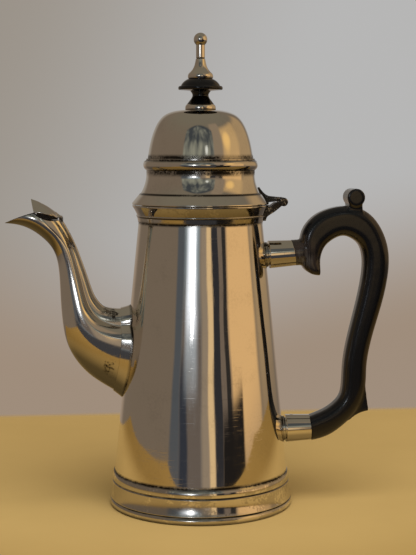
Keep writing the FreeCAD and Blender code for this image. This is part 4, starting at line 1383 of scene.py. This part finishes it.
class POT_OT_spout(bpy.types.Operator):
    """Form the spout, its collar and its hinged cover"""

    bl_idname = "pot.spout"
    bl_label = "Spout"

    def execute(self, context):
        scene = context.scene
        at = Levels(scene.pot_sizes)
        # Distance out from the body and width of the dark line at the joint
        gaps = ((0.2, 1.1),)
        # The spout's downward faces take nearly the full painted shade
        metal = silver_finish(scene, "spout_silver", gaps=gaps, haze=0.06, painted_shade_share=0.95)
        self.make_spout(at, metal)
        self.make_collar(at, metal)
        self.make_flap(at, silver_finish(scene, "cover_silver"))
        dress(SPOUT_SMALL, silver_finish(scene, "hinge_silver", dull=HINGE_DULL))
        return {"FINISHED"}

    def make_spout(self, at, metal):
        """Hollow neck with an open beak."""
        spout = loose(spout_body("pot_spout", at, 0.0, 0.0))
        carve(spout, mouth_cutter(at), "DIFFERENCE")
        carve(spout, lathe("cone", at.cone()), "DIFFERENCE")
        carve(spout, spout_body("hollow", at, at.spout_wall, SPOUT_ROOF), "DIFFERENCE")
        paint(spout, "tarnish", lambda place, normal: self.tarnish(at, place, normal))
        seat(spout, "pot", ("spout",), metal, sharp=42, even=False)

    def make_collar(self, at, metal):
        """Flared band where the spout meets the body."""
        collar = loose(collar_body(at))
        carve(collar, lathe("cone", at.cone(COLLAR_REACH)), "INTERSECT")
        carve(collar, spout_body("core", at, COLLAR_FIT, COLLAR_FIT), "DIFFERENCE")
        carve(collar, lathe("cone", at.cone()), "DIFFERENCE")
        seat(collar, "pot", ("spout_collar",), metal, sharp=42, even=False)

    def tarnish(self, at, place, normal):
        """Share of tarnish on the spout at its root, on its crown and low on its belly, and painted shade
        inside it.
        """
        out, up = at.from_spout(place)
        share = 0.0
        if up > ROOT_UP:
            share = max(share, ROOT_TARNISH - ROOT_FADE * abs(out - ROOT_OUT))
        if normal.x > CROWN_FACING and abs(normal.y) < CROWN_ASIDE:
            share = max(share, CROWN_TARNISH - CROWN_FADE * abs(up - CROWN_UP))
        if normal.z < BELLY_FACING:
            share = max(share, BELLY_TARNISH - BELLY_FADE * math.dist((out, up), BELLY_PLACE))
        # Painted shade: the inside of the spout is painted fully dark
        if normal.y * place.y < INSIDE_SHADE_FACING:
            share = 1.0
        return share

    def make_flap(self, at, metal):
        """Ridged cover with a plug under it and a knuckle behind it."""
        rows = smooth_rows(FLAP_STATIONS, FLAP_ROWS)
        flap = loose(loft("pot_spout_flap", [flap_ring(at, row, FLAP_BOW) for row in rows]))
        heel, low, axis = at.spout_xz(PLUG_HEEL, PLUG_LOW, FLAP_AXIS)
        front_top, heel_top = at.spout_xz(*PLUG_TOP)
        plug = outline_of(heel, [low], at.spout_xz(*PLUG_CURVE), [front_top], [heel_top])
        carve(flap, slab("plug", plug, PLUG_W), "UNION")
        carve(flap, loft("tab", [flap_ring(at, station, TAB_BOW) for station in FLAP_TAB]), "UNION")
        carve(flap, cross_rod("knuckle", FLAP_BARREL, FLAP_BARREL_W, axis, FLAP_BARREL_EDGE), "UNION")
        carve(flap, cross_rod("bore", FLAP_BORE, FLAP_BORE_W, axis, 0.0), "DIFFERENCE")
        shade_out, shade_up = COVER_SHADE_PLACE

        # Painted shade: everything under the cover's edge line, and every face turned down, is painted fully
        # dark
        def under(place, normal):
            out, up = at.from_spout(place)
            below = up < shade_up + COVER_SHADE_SLOPE * (out - shade_out)
            return 1.0 if below or normal.z < COVER_SHADE_FACING else 0.0

        paint(flap, "tarnish", under)
        seat(flap, "flap", ("spout_flap",), metal, sharp=40)


# Handle and its sockets

# Stations along the grip: its back and its finger side, out and up from the upper socket's mouth
UPPER_STATIONS = (
    (12.4, -11.5, 13.5, -11.8),
    (7.7, -10.2, 13.4, -8.6),
    (4.6, -7.2, 13.4, -5.4),
    (3.1, 1.0, 13.9, -1.3),
    (4.3, 11.2, 15.6, 2.9),
    (10.5, 19.1, 18.8, 6.1),
    (18.7, 22.9, 22.6, 8.2),
    (28.5, 24.0, 26.5, 8.6),
    (38.0, 20.7, 30.6, 6.9),
    (45.5, 11.7, 34.2, 3.4),
    (49.2, -0.4, 36.0, -3.4),
    (48.8, -12.9, 35.6, -12.4),
)
# The same, out and up from the lower socket's mouth
LOWER_STATIONS = (
    (32.8, 50.9, 20.4, 51.2),
    (29.1, 31.4, 17.0, 31.4),
    (28.4, 19.9, 16.3, 19.9),
    (25.2, 10.3, 14.4, 15.0),
    (18.0, 2.0, 9.8, 10.8),
    (9.3, -4.0, 5.1, 8.3),
    (-0.4, -6.7, -1.6, 5.7),
)
GRIP_END_W = 8.0
GRIP_ROWS = 6
GRIP_CORNER = 4.6
GRIP_CORNER_SHARE = 0.42
GRIP_CORNER_STEPS = 6
GRIP_CORNER_TURN = 15
UPPER_TILT = 3.5
UPPER_SLANT = 7.0
UPPER_REACH = 14.7
UPPER_SOCKET_Z = 128.0
LOWER_TILT = 1.5
LOWER_SLANT = 3.3
HANDLE_SPAN = 91.3
HANDLE_SET_OUT = 9.2
SOCKET_START = 1.8
SOCKET_R = 7.15
SOCKET_MOUTH_R = 6.6
SOCKET_BORE = 5.7
SOCKET_FLOOR = 0.8
SOCKET_EDGE = 0.3
SOCKET_STEPS = 96
PIN_R = 0.8
PIN_OUT = 5.0
PIN_EDGE = 0.2
PIN_STEPS = 24
SCROLL_PLACE = (31.2, 28.4)
SCROLL_W = 14.4
SCROLL_EDGE = 0.7
SCROLL_NECK_W = 12.2
HEEL_W = 9.2
STUB_R = 6.7
STUB_NEAR = -6.0
STUB_FAR = 5.0
STUB_STEPS = 64
SANDING = 8
CUT_DISTANCE = 1e-7

# Wear of the wood: the back where hands rub it, and a dry spot beside the upper socket
WEAR_MIDDLE_OUT = 18.0
RUB_FACING = 0.3
RUB_FACING_SPAN = 0.5
RUB_OUT = 24.0
RUB_OUT_SPAN = 14.0
DRY_PLACE = (4.0, -3.0)
DRY_MOST = 1.9
DRY_REACH = 7.0


def lean(tilt):
    """Direction that leans up from +X by an angle."""
    return Vector((math.cos(math.radians(tilt)), math.sin(math.radians(tilt))))


def upper_mouth(at):
    """Middle of the upper socket's mouth, in the XZ plane."""
    return Vector((at.body_r(UPPER_SOCKET_Z), UPPER_SOCKET_Z)) + lean(UPPER_TILT) * UPPER_REACH


def lower_mouth(at):
    """Middle of the lower socket's mouth, in the XZ plane."""
    return upper_mouth(at) + Vector((HANDLE_SET_OUT, -HANDLE_SPAN))


def lower_reach(at):
    """Length from the body's wall to the lower mouth along the lower socket's axis."""
    mouth = lower_mouth(at)
    taper = (at.top_radius - at.base_radius) / at.body_height
    way = lean(LOWER_TILT)
    return (mouth.x - at.body_r(mouth.y)) / (way.x - taper * way.y)


def grip_ring(back_x, back_z, finger_x, finger_z, thick):
    """Rounded rectangle across the handle, from its back to its finger side."""
    back, finger = Vector((back_x, back_z)), Vector((finger_x, finger_z))
    depth = (finger - back).length
    inward = (finger - back).normalized()
    corner = min(GRIP_CORNER, depth * GRIP_CORNER_SHARE, thick * GRIP_CORNER_SHARE)
    near, far, side = corner, depth - corner, thick / 2 - corner
    ring = []
    for into, across, start in ((near, side, 90), (far, side, 0), (far, -side, -90), (near, -side, -180)):
        for i in range(GRIP_CORNER_STEPS, -1, -1):
            turn = math.radians(start + i * GRIP_CORNER_TURN)
            spot = back + inward * (into + corner * math.cos(turn))
            ring.append((spot.x, across + corner * math.sin(turn), spot.y))
    return ring


def socket_place(mouth, reach, tilt, slant):
    """Puts a point turned about a socket's axis, with the mouth's end slanted."""
    way = lean(tilt)
    wall = mouth - way * reach
    skew = math.tan(math.radians(slant))

    def place(radius, far, turn):
        aside, up = radius * math.cos(turn), radius * math.sin(turn)
        far -= up * skew * ramp(far, SOCKET_START, reach - SOCKET_START)
        return (wall.x + way.x * far - way.y * up, aside, wall.y + way.y * far + way.x * up)

    return place


class POT_OT_handle(bpy.types.Operator):
    """Carve the handle and turn its sockets"""

    bl_idname = "pot.handle"
    bl_label = "Handle"

    def execute(self, context):
        scene = context.scene
        at = Levels(scene.pot_sizes)
        # Distances out from the body and widths of the dark lines at the joints
        gaps = ((0.3, 0.9), (1.4, 0.7))
        metal = silver_finish(scene, "socket_silver", gaps=gaps)
        dress(SOCKET_SMALL, metal)
        upper = (upper_mouth(at), UPPER_REACH, UPPER_TILT, UPPER_SLANT)
        lower = (lower_mouth(at), lower_reach(at), LOWER_TILT, LOWER_SLANT)
        self.make_socket("upper_socket", upper, metal)
        self.make_socket("lower_socket", lower, metal)
        self.make_pin(at, metal)
        self.make_grip(at, wood_finish(scene))
        return {"FINISHED"}

    def make_socket(self, name, fit, metal):
        """Tapered tube with a floor at the body's end."""
        reach = fit[1]
        floor = SOCKET_START + SOCKET_FLOOR
        outline = trace(
            (0, SOCKET_START),
            [(SOCKET_R, SOCKET_START)],
            [(SOCKET_MOUTH_R, reach)],
            [(SOCKET_BORE, reach)],
            [(SOCKET_BORE, floor)],
            [(0, floor)],
        )
        outline = soften(*off_axis(outline), SOCKET_EDGE)
        tube = loose(lathe("pot_" + name, outline, socket_place(*fit), SOCKET_STEPS))
        seat(tube, "pot", (name,), metal)

    def make_pin(self, at, metal):
        """Upright pin through the lower socket."""
        way = lean(LOWER_TILT)
        centre = lower_mouth(at) - way * (lower_reach(at) - PIN_OUT)

        def place(radius, far, turn):
            along = radius * math.cos(turn)
            return (
                centre.x + way.x * along - way.y * far,
                radius * math.sin(turn),
                centre.y + way.y * along + way.x * far,
            )

        outline = rod_outline(PIN_R, 2 * SOCKET_R, PIN_EDGE)
        pin = loose(lathe("pot_lower_handle_pin", outline, place, PIN_STEPS))
        seat(pin, "pot", ("lower_handle_pin",), metal)

    def make_grip(self, at, finish):
        """Wooden grip with its scroll, beak and heel."""
        top, low = upper_mouth(at), lower_mouth(at)
        rows = [(top.x + a, top.y + b, top.x + c, top.y + d) for a, b, c, d in UPPER_STATIONS]
        rows += [(low.x + a, low.y + b, low.x + c, low.y + d) for a, b, c, d in LOWER_STATIONS]
        widths = [GRIP_END_W] + [at.handle_thickness] * (len(rows) - 1)
        rows = [row + (width,) for row, width in zip(rows, widths)]
        grip = loose(loft("pot_handle", [grip_ring(*row) for row in smooth_rows(rows, GRIP_ROWS)]))
        wood = bmesh.new()
        wood.from_mesh(grip.data)
        for mesh in self.scroll(at, top) + [self.heel(low), self.stub(top)]:
            wood.from_mesh(mesh)
            bpy.data.meshes.remove(mesh)
        wood.to_mesh(grip.data)
        wood.free()
        remesh = grip.modifiers.new("carve", "REMESH")
        remesh.mode = "VOXEL"
        remesh.voxel_size = at.handle_grain * MM
        smooth = grip.modifiers.new("sand", "SMOOTH")
        smooth.factor = 0.5
        smooth.iterations = SANDING
        settle(grip)
        middle_z = low.y + HANDLE_SPAN / 2
        self.trim(grip, top, UPPER_TILT + UPPER_SLANT, middle_z, True)
        self.trim(grip, low, LOWER_TILT + LOWER_SLANT, middle_z, False)
        middle = Vector((top.x + WEAR_MIDDLE_OUT, middle_z))
        dry = (top.x + DRY_PLACE[0], top.y + DRY_PLACE[1])

        def wear(place, normal):
            away = Vector((place.x - middle.x, place.z - middle.y)).normalized()
            back = normal.x * away.x + normal.z * away.y
            rubbed = ramp(back, RUB_FACING, RUB_FACING_SPAN) * ramp(place.x - top.x, RUB_OUT, RUB_OUT_SPAN)
            near = math.dist((place.x, place.z), dry)
            return max(rubbed, DRY_MOST - near / DRY_REACH, 0.0)

        paint(grip, "wear", wear)
        seat(grip, "pot", ("handle",), finish, sharp=50, even=False)

    def scroll(self, at, top):
        """Thumb scroll, and the neck between it and the grip."""
        radius = at.scroll_radius
        x, z = top.x + SCROLL_PLACE[0], top.y + SCROLL_PLACE[1]
        neck = outline_of(
            (x - radius * 1.3, z - radius * 1.6),
            [(x - radius * 0.75, z - radius * 0.85), (x - radius * 0.7, z)],
            [(x + radius * 0.8, z)],
            [(x + radius * 0.75, z - radius), (x + radius * 0.95, z - radius * 1.9)],
        )
        roll = cross_rod("scroll", radius, SCROLL_W, (x, z), SCROLL_EDGE)
        return [roll, slab("scroll_neck", neck, SCROLL_NECK_W)]

    def heel(self, low):
        """Pointed heel at the lower bend of the grip."""
        outline = outline_of(
            (low.x + 22.0, low.y + 16.0),
            [(low.x + 27.9, low.y + 27.0)],
            [(low.x + 29.0, low.y + 17.0), (low.x + 30.1, low.y + 9.6)],
            [(low.x + 30.0, low.y + 8.8)],
            [(low.x + 25.6, low.y + 7.7), (low.x + 20.2, low.y + 3.9)],
            [(low.x + 18.0, low.y + 6.0)],
        )
        return slab("heel", outline, HEEL_W)

    def stub(self, top):
        """Round end of the grip at the upper socket."""
        way = lean(UPPER_TILT)

        def place(radius, far, turn):
            spot = top + way * far
            up = radius * math.sin(turn)
            return (spot.x - way.y * up, radius * math.cos(turn), spot.y + way.x * up)

        outline = [(0, STUB_NEAR), (STUB_R, STUB_NEAR), (STUB_R, STUB_FAR), (0, STUB_FAR)]
        return lathe("stub", outline, place, STUB_STEPS)

    def trim(self, grip, mouth, tilt, middle, upper):
        """Cuts the grip at a socket's mouth and closes the cut."""
        wood = bmesh.new()
        wood.from_mesh(grip.data)
        part = [v for v in wood.verts if (v.co.z / MM > middle) == upper]
        chosen = set(part)
        edges = [e for e in wood.edges if all(v in chosen for v in e.verts)]
        faces = [f for f in wood.faces if all(v in chosen for v in f.verts)]
        way = lean(tilt)
        bmesh.ops.bisect_plane(
            wood, geom=part + edges + faces, dist=CUT_DISTANCE,
            plane_co=(mouth.x * MM, 0, mouth.y * MM), plane_no=(way.x, 0, way.y), clear_inner=True,
        )
        rim = [e for e in wood.edges if e.is_boundary]
        bmesh.ops.holes_fill(wood, edges=rim, sides=0)
        bmesh.ops.recalc_face_normals(wood, faces=wood.faces)
        wood.to_mesh(grip.data)
        wood.free()


# Studio

# Cards round the studio: colour, compass angle, half width, softness, lowest and highest angle, edge softness
STUDIO_CARDS = (
    ((0.05, 0.05, 0.056), 0, 46, 8, -60, -5, 1.5),
    ((0.085, 0.095, 0.11), -38, 8, 2, -5, 14, 3),
    ((0.28, 0.34, 0.39), -19, 13, 4, -5, 15, 3),
    ((0.14, 0.115, 0.10), -19, 15, 3, -5, 4.5, 1.5),
    ((0.035, 0.04, 0.055), -29, 5, 2, -5, 1.4, 1.2),
    ((0.36, 0.40, 0.45), -20, 8, 4, 0.8, 6, 1.2),
    ((1.25, 1.35, 1.55), -20, 7.5, 4, 3.4, 10, 1.4),
    ((0.30, 0.24, 0.18), 2, 6, 3, -5, 10, 2),
    ((0.74, 0.53, 0.29), 10, 4.0, 1.6, -5, 10, 2),
    ((0.03, 0.03, 0.035), 20.5, 5.5, 1.0, -5, 10, 2),
    ((0.18, 0.14, 0.11), 30, 4, 1.0, -5, 10, 2),
    ((0.03, 0.027, 0.025), 37, 3.5, 1.0, -5, 10, 2),
    ((0.27, 0.21, 0.15), 35, 14, 4, 13, 55, 4),
    ((0.55, 0.37, 0.18), 74, 26, 4, 10, 42, 6),
    ((0.76, 0.48, 0.22), 67, 25, 3, -5, 12, 4),
    ((0.015, 0.013, 0.012), 42, 16, 1.5, -60, -0.8, 0.6),
    ((0.40, 0.28, 0.155), 118, 24, 8, -5, 40, 6),
)
# Round spots of the studio: colour, compass angle, height, half width, softness
STUDIO_SPOTS = (
    ((0.90, 0.58, 0.22), 61, 25, 6, 6),
    ((0.75, 0.78, 0.75), 9, 20, 2.0, 2),
    ((8.0, 8.5, 9.2), -18, 6.5, 2.6, 1.5),
)
WALL_LOW = (0.18, 0.142, 0.108)
WALL_HIGH = (0.18, 0.16, 0.122)
WALL_RANGE = (0.3, 1.2)

# Folded screen above the front: compass angle, half width, softness, lowest and highest angle, edge softness
SCREEN_CARD = (-10, 35, 2, 13, 54, 3)
SCREEN_ARCH = 0.6
SCREEN_DARK = (0.05, 0.058, 0.066)
SCREEN_LIGHT = (0.30, 0.305, 0.25)
FOLD_STRETCH = ((5.0, 5.0, 2.0), (0.0, 0.7, 0.0))
FOLD_RISE = -0.35
FOLD_RANGE = (0.15, 0.60)

BACKDROP_LEAN = -0.35
BACKDROP_RANGE = (-0.12, 0.16)
BACKDROP_MIDDLE = 0.04
BACKDROP_DIP = -0.28
BACKDROP_LOW_RANGE = (-0.20, -0.065)
BEHIND_RANGE = (0.80, 0.97)

FLOOR_FADE = 0.008
FLOOR_BEND = -0.06
FLOOR_DROP = 0.0002
# Painted pool of light on the floor: its middle, and the distances over which it dims
LIGHT_POOL_MIDDLE = (0.0, 0.12, 0.0)
LIGHT_POOL_RANGE = (0.175, 0.32)
MOTTLE_SCALE = 14.0
MOTTLE_SHARE = 0.2
FLOOR_GRAIN_SCALE = 120.0
FLOOR_GRAIN_STRENGTH = 0.05
FLOOR_GRAIN_DEPTH = 0.001

KEY_SIZE = 1.5
KEY_PLACE = (0.1, -0.7, 1.4)
KEY_TARGET = (0.0, 0.0, 0.1)
SENSOR_WIDTH = 36.0
NEAREST_SEEN = 0.01


def studio_card(tree, azimuth, elevation, under, tint, centre, half, soft, low, high, edge, crown=None):
    """Lays a soft-edged card over the studio's walls, by angles in degrees; a crown may bend its top."""
    aside = reckon(tree, "ABSOLUTE", reckon(tree, "SUBTRACT", azimuth, math.radians(centre)))
    top = elevation if crown is None else crown
    across = ease(tree, aside, math.radians(half + soft), math.radians(half - soft))
    above = ease(tree, elevation, math.radians(low - edge), math.radians(low + edge))
    below = ease(tree, top, math.radians(high + edge), math.radians(high - edge))
    share = reckon(tree, "MULTIPLY", across, reckon(tree, "MULTIPLY", above, below))
    return blend(tree, share, under, tint)


def studio_spot(tree, direction, under, tint, azimuth, elevation, half, soft):
    """Lays a round soft-edged spot over the studio's walls, by its middle and its half angle in degrees."""
    level = math.cos(math.radians(elevation))
    middle = (
        level * math.sin(math.radians(azimuth)),
        -level * math.cos(math.radians(azimuth)),
        math.sin(math.radians(elevation)),
    )
    near = add(tree, "ShaderNodeVectorMath", operation="DOT_PRODUCT")
    feed(tree, direction, near.inputs[0])
    feed(tree, middle, near.inputs[1])
    outer = math.cos(math.radians(half + soft))
    inner = math.cos(math.radians(max(half - soft, 0.0)))
    return blend(tree, ease(tree, near.outputs["Value"], outer, inner), under, rgba(tint))


class POT_OT_stage(bpy.types.Operator):
    """Make the floor, the studio's light and the camera"""

    bl_idname = "pot.stage"
    bl_label = "Studio"

    def execute(self, context):
        scene = context.scene
        colours, studio = scene.pot_colours, scene.pot_studio
        scene.view_settings.view_transform = "Standard"
        self.make_floor(scene, colours, studio)
        self.make_world(scene, colours)
        self.make_light(scene, studio)
        self.make_camera(scene, studio)
        return {"FINISHED"}

    def make_floor(self, scene, colours, studio):
        """Pale sheet under the pot, nearer the camera at its left end."""
        left, right = studio.floor_left, studio.floor_right
        front, back = studio.floor_front, studio.floor_back
        corners = [
            (left, front - studio.floor_slant, 0),
            (FLOOR_BEND, front, 0),
            (right, front, 0),
            (right, back + FLOOR_FADE, 0),
            (left, back + FLOOR_FADE, 0),
        ]
        mesh = bpy.data.meshes.new("floor")
        mesh.from_pydata(corners, [], [range(len(corners))])
        mesh.materials.append(self.floor_finish(colours, back))
        floor = bpy.data.objects.new("floor", mesh)
        floor.location.z = FOOT_LOW.z - FLOOR_DROP
        scene.collection.objects.link(floor)

    def floor_finish(self, colours, back):
        """Dull mottled floor with a painted pool of light: it dims away from the pot and fades out at its
        back edge.
        """
        material, tree = new_material("studio_floor")
        shader = tree.nodes["Principled BSDF"]
        shader.inputs["Roughness"].default_value = 0.9
        shader.inputs["Specular IOR Level"].default_value = 0.1
        place = add(tree, "ShaderNodeTexCoord").outputs["Object"]
        away = add(tree, "ShaderNodeVectorMath", operation="DISTANCE")
        feed(tree, place, away.inputs[0])
        feed(tree, LIGHT_POOL_MIDDLE, away.inputs[1])
        # Painted pool of light: the colour dims with distance from the middle
        dim = ease(tree, away.outputs["Value"], *LIGHT_POOL_RANGE)
        plain = blend(tree, dim, rgba(colours.floor), rgba(colours.floor_painted_dim))
        mottle = reckon(tree, "MULTIPLY", noise(tree, place, MOTTLE_SCALE), MOTTLE_SHARE)
        feed(tree, blend(tree, mottle, plain, rgba(colours.floor_mottle)), shader.inputs["Base Color"])
        grain = noise(tree, place, FLOOR_GRAIN_SCALE)
        feed(tree, bump(tree, grain, FLOOR_GRAIN_STRENGTH, FLOOR_GRAIN_DEPTH), shader.inputs["Normal"])
        split = add(tree, "ShaderNodeSeparateXYZ")
        feed(tree, place, split.inputs[0])
        gone = ease(tree, split.outputs["Y"], back - FLOOR_FADE, back + FLOOR_FADE)
        clear = add(tree, "ShaderNodeBsdfTransparent")
        mixed = add(tree, "ShaderNodeMixShader")
        feed(tree, gone, mixed.inputs[0])
        feed(tree, shader.outputs[0], mixed.inputs[1])
        feed(tree, clear.outputs[0], mixed.inputs[2])
        feed(tree, mixed.outputs[0], tree.nodes["Material Output"].inputs["Surface"])
        return material

    def make_world(self, scene, colours):
        """Walls that the metal mirrors, and the backdrop that the camera sees."""
        world = bpy.data.worlds.new("studio")
        world.use_nodes = True
        scene.world = world
        tree = world.node_tree
        direction = add(tree, "ShaderNodeTexCoord").outputs["Generated"]
        split = add(tree, "ShaderNodeSeparateXYZ")
        feed(tree, direction, split.inputs[0])
        across, depth, up = split.outputs
        azimuth = reckon(tree, "ARCTAN2", across, reckon(tree, "MULTIPLY", depth, -1.0))
        elevation = reckon(tree, "ARCSINE", up)
        walls = self.walls(tree, direction, azimuth, elevation)
        paper = self.backdrop(tree, colours, across, elevation)
        behind = ease(tree, depth, *BEHIND_RANGE)
        paths = add(tree, "ShaderNodeLightPath").outputs
        shiny = reckon(tree, "MAXIMUM", paths["Is Glossy Ray"], paths["Is Transmission Ray"])
        plain = reckon(tree, "MAXIMUM", paths["Is Camera Ray"], reckon(tree, "MULTIPLY", shiny, behind))
        feed(tree, blend(tree, plain, walls, paper), tree.nodes["Background"].inputs["Color"])

    def walls(self, tree, direction, azimuth, elevation):
        """Colour of the studio's walls, with their cards, folded screen and spots."""
        walls = blend(tree, ease(tree, elevation, *WALL_RANGE), rgba(WALL_LOW), rgba(WALL_HIGH))
        for tint, *shape in STUDIO_CARDS:
            walls = studio_card(tree, azimuth, elevation, walls, rgba(tint), *shape)
        folds = noise(tree, direction, detail=2.0, stretch=FOLD_STRETCH)
        folds = reckon(tree, "MULTIPLY_ADD", elevation, FOLD_RISE, folds)
        shade = blend(tree, ease(tree, folds, *FOLD_RANGE), rgba(SCREEN_DARK), rgba(SCREEN_LIGHT))
        aside = reckon(tree, "SUBTRACT", azimuth, math.radians(SCREEN_CARD[0]))
        square = reckon(tree, "MULTIPLY", aside, aside)
        arch = reckon(tree, "MULTIPLY_ADD", square, SCREEN_ARCH, elevation)
        walls = studio_card(tree, azimuth, elevation, walls, shade, *SCREEN_CARD, crown=arch)
        for spot in STUDIO_SPOTS:
            walls = studio_spot(tree, direction, walls, *spot)
        return walls

    def backdrop(self, tree, colours, across, elevation):
        """Colour of the plain backdrop: a dim side, a lit side and a warmer foot."""
        sideways = reckon(tree, "MULTIPLY_ADD", elevation, BACKDROP_LEAN, across)
        lit = ease(tree, sideways, *BACKDROP_RANGE)
        paper = blend(tree, lit, rgba(colours.backdrop_dim), rgba(colours.backdrop))
        aside = reckon(tree, "ABSOLUTE", reckon(tree, "SUBTRACT", across, BACKDROP_MIDDLE))
        upward = reckon(tree, "MULTIPLY_ADD", aside, BACKDROP_DIP, elevation)
        return blend(tree, ease(tree, upward, *BACKDROP_LOW_RANGE), rgba(colours.backdrop_low), paper)

    def make_light(self, scene, studio):
        """Large soft lamp over the front, which the metal doesn't mirror."""
        lamp = bpy.data.lights.new("key_light", "AREA")
        lamp.shape = "RECTANGLE"
        lamp.size = KEY_SIZE
        lamp.size_y = KEY_SIZE
        lamp.energy = studio.key_power
        key = bpy.data.objects.new("key_light", lamp)
        key.location = KEY_PLACE
        key.rotation_euler = (Vector(KEY_TARGET) - key.location).to_track_quat("-Z", "Y").to_euler()
        key.visible_camera = False
        key.visible_glossy = False
        scene.collection.objects.link(key)

    def make_camera(self, scene, studio):
        """Camera in front of the pot, a little above its middle."""
        data = bpy.data.cameras.new("camera")
        data.lens = studio.lens
        data.sensor_width = SENSOR_WIDTH
        data.clip_start = NEAREST_SEEN
        camera = bpy.data.objects.new("camera", data)
        camera.location = studio.camera_at
        camera.rotation_euler = (math.pi / 2 - studio.camera_pitch, 0.0, -studio.camera_yaw)
        scene.collection.objects.link(camera)
        scene.camera = camera


class POT_PT_panel(bpy.types.Panel):
    """Sizes, colours and steps of the coffee pot"""

    bl_idname = "POT_PT_panel"
    bl_label = "Coffee Pot"
    bl_space_type = "VIEW_3D"
    bl_region_type = "UI"
    bl_category = "Coffee Pot"

    def draw(self, context):
        layout = self.layout
        scene = context.scene
        for group in (scene.pot_sizes, scene.pot_colours, scene.pot_studio):
            box = layout.box()
            for key in group.__annotations__:
                box.prop(group, key)
        for operator in OPERATORS:
            layout.operator(operator.bl_idname)


OPERATORS = (
    POT_OT_body, POT_OT_lid, POT_OT_hinge, POT_OT_finial, POT_OT_spout, POT_OT_handle, POT_OT_stage,
)
CLASSES = (PotSizes, PotColours, PotStudio) + OPERATORS + (POT_PT_panel,)


def register():
    for item in CLASSES:
        bpy.utils.register_class(item)
    bpy.types.Scene.pot_sizes = PointerProperty(type=PotSizes)
    bpy.types.Scene.pot_colours = PointerProperty(type=PotColours)
    bpy.types.Scene.pot_studio = PointerProperty(type=PotStudio)


def unregister():
    del bpy.types.Scene.pot_studio
    del bpy.types.Scene.pot_colours
    del bpy.types.Scene.pot_sizes
    for item in reversed(CLASSES):
        bpy.utils.unregister_class(item)


def main():
    register()
    bpy.ops.pot.body()
    bpy.ops.pot.lid()
    bpy.ops.pot.hinge()
    bpy.ops.pot.finial()
    bpy.ops.pot.spout()
    bpy.ops.pot.handle()
    bpy.ops.pot.stage()


if __name__ == "__main__":
    main()
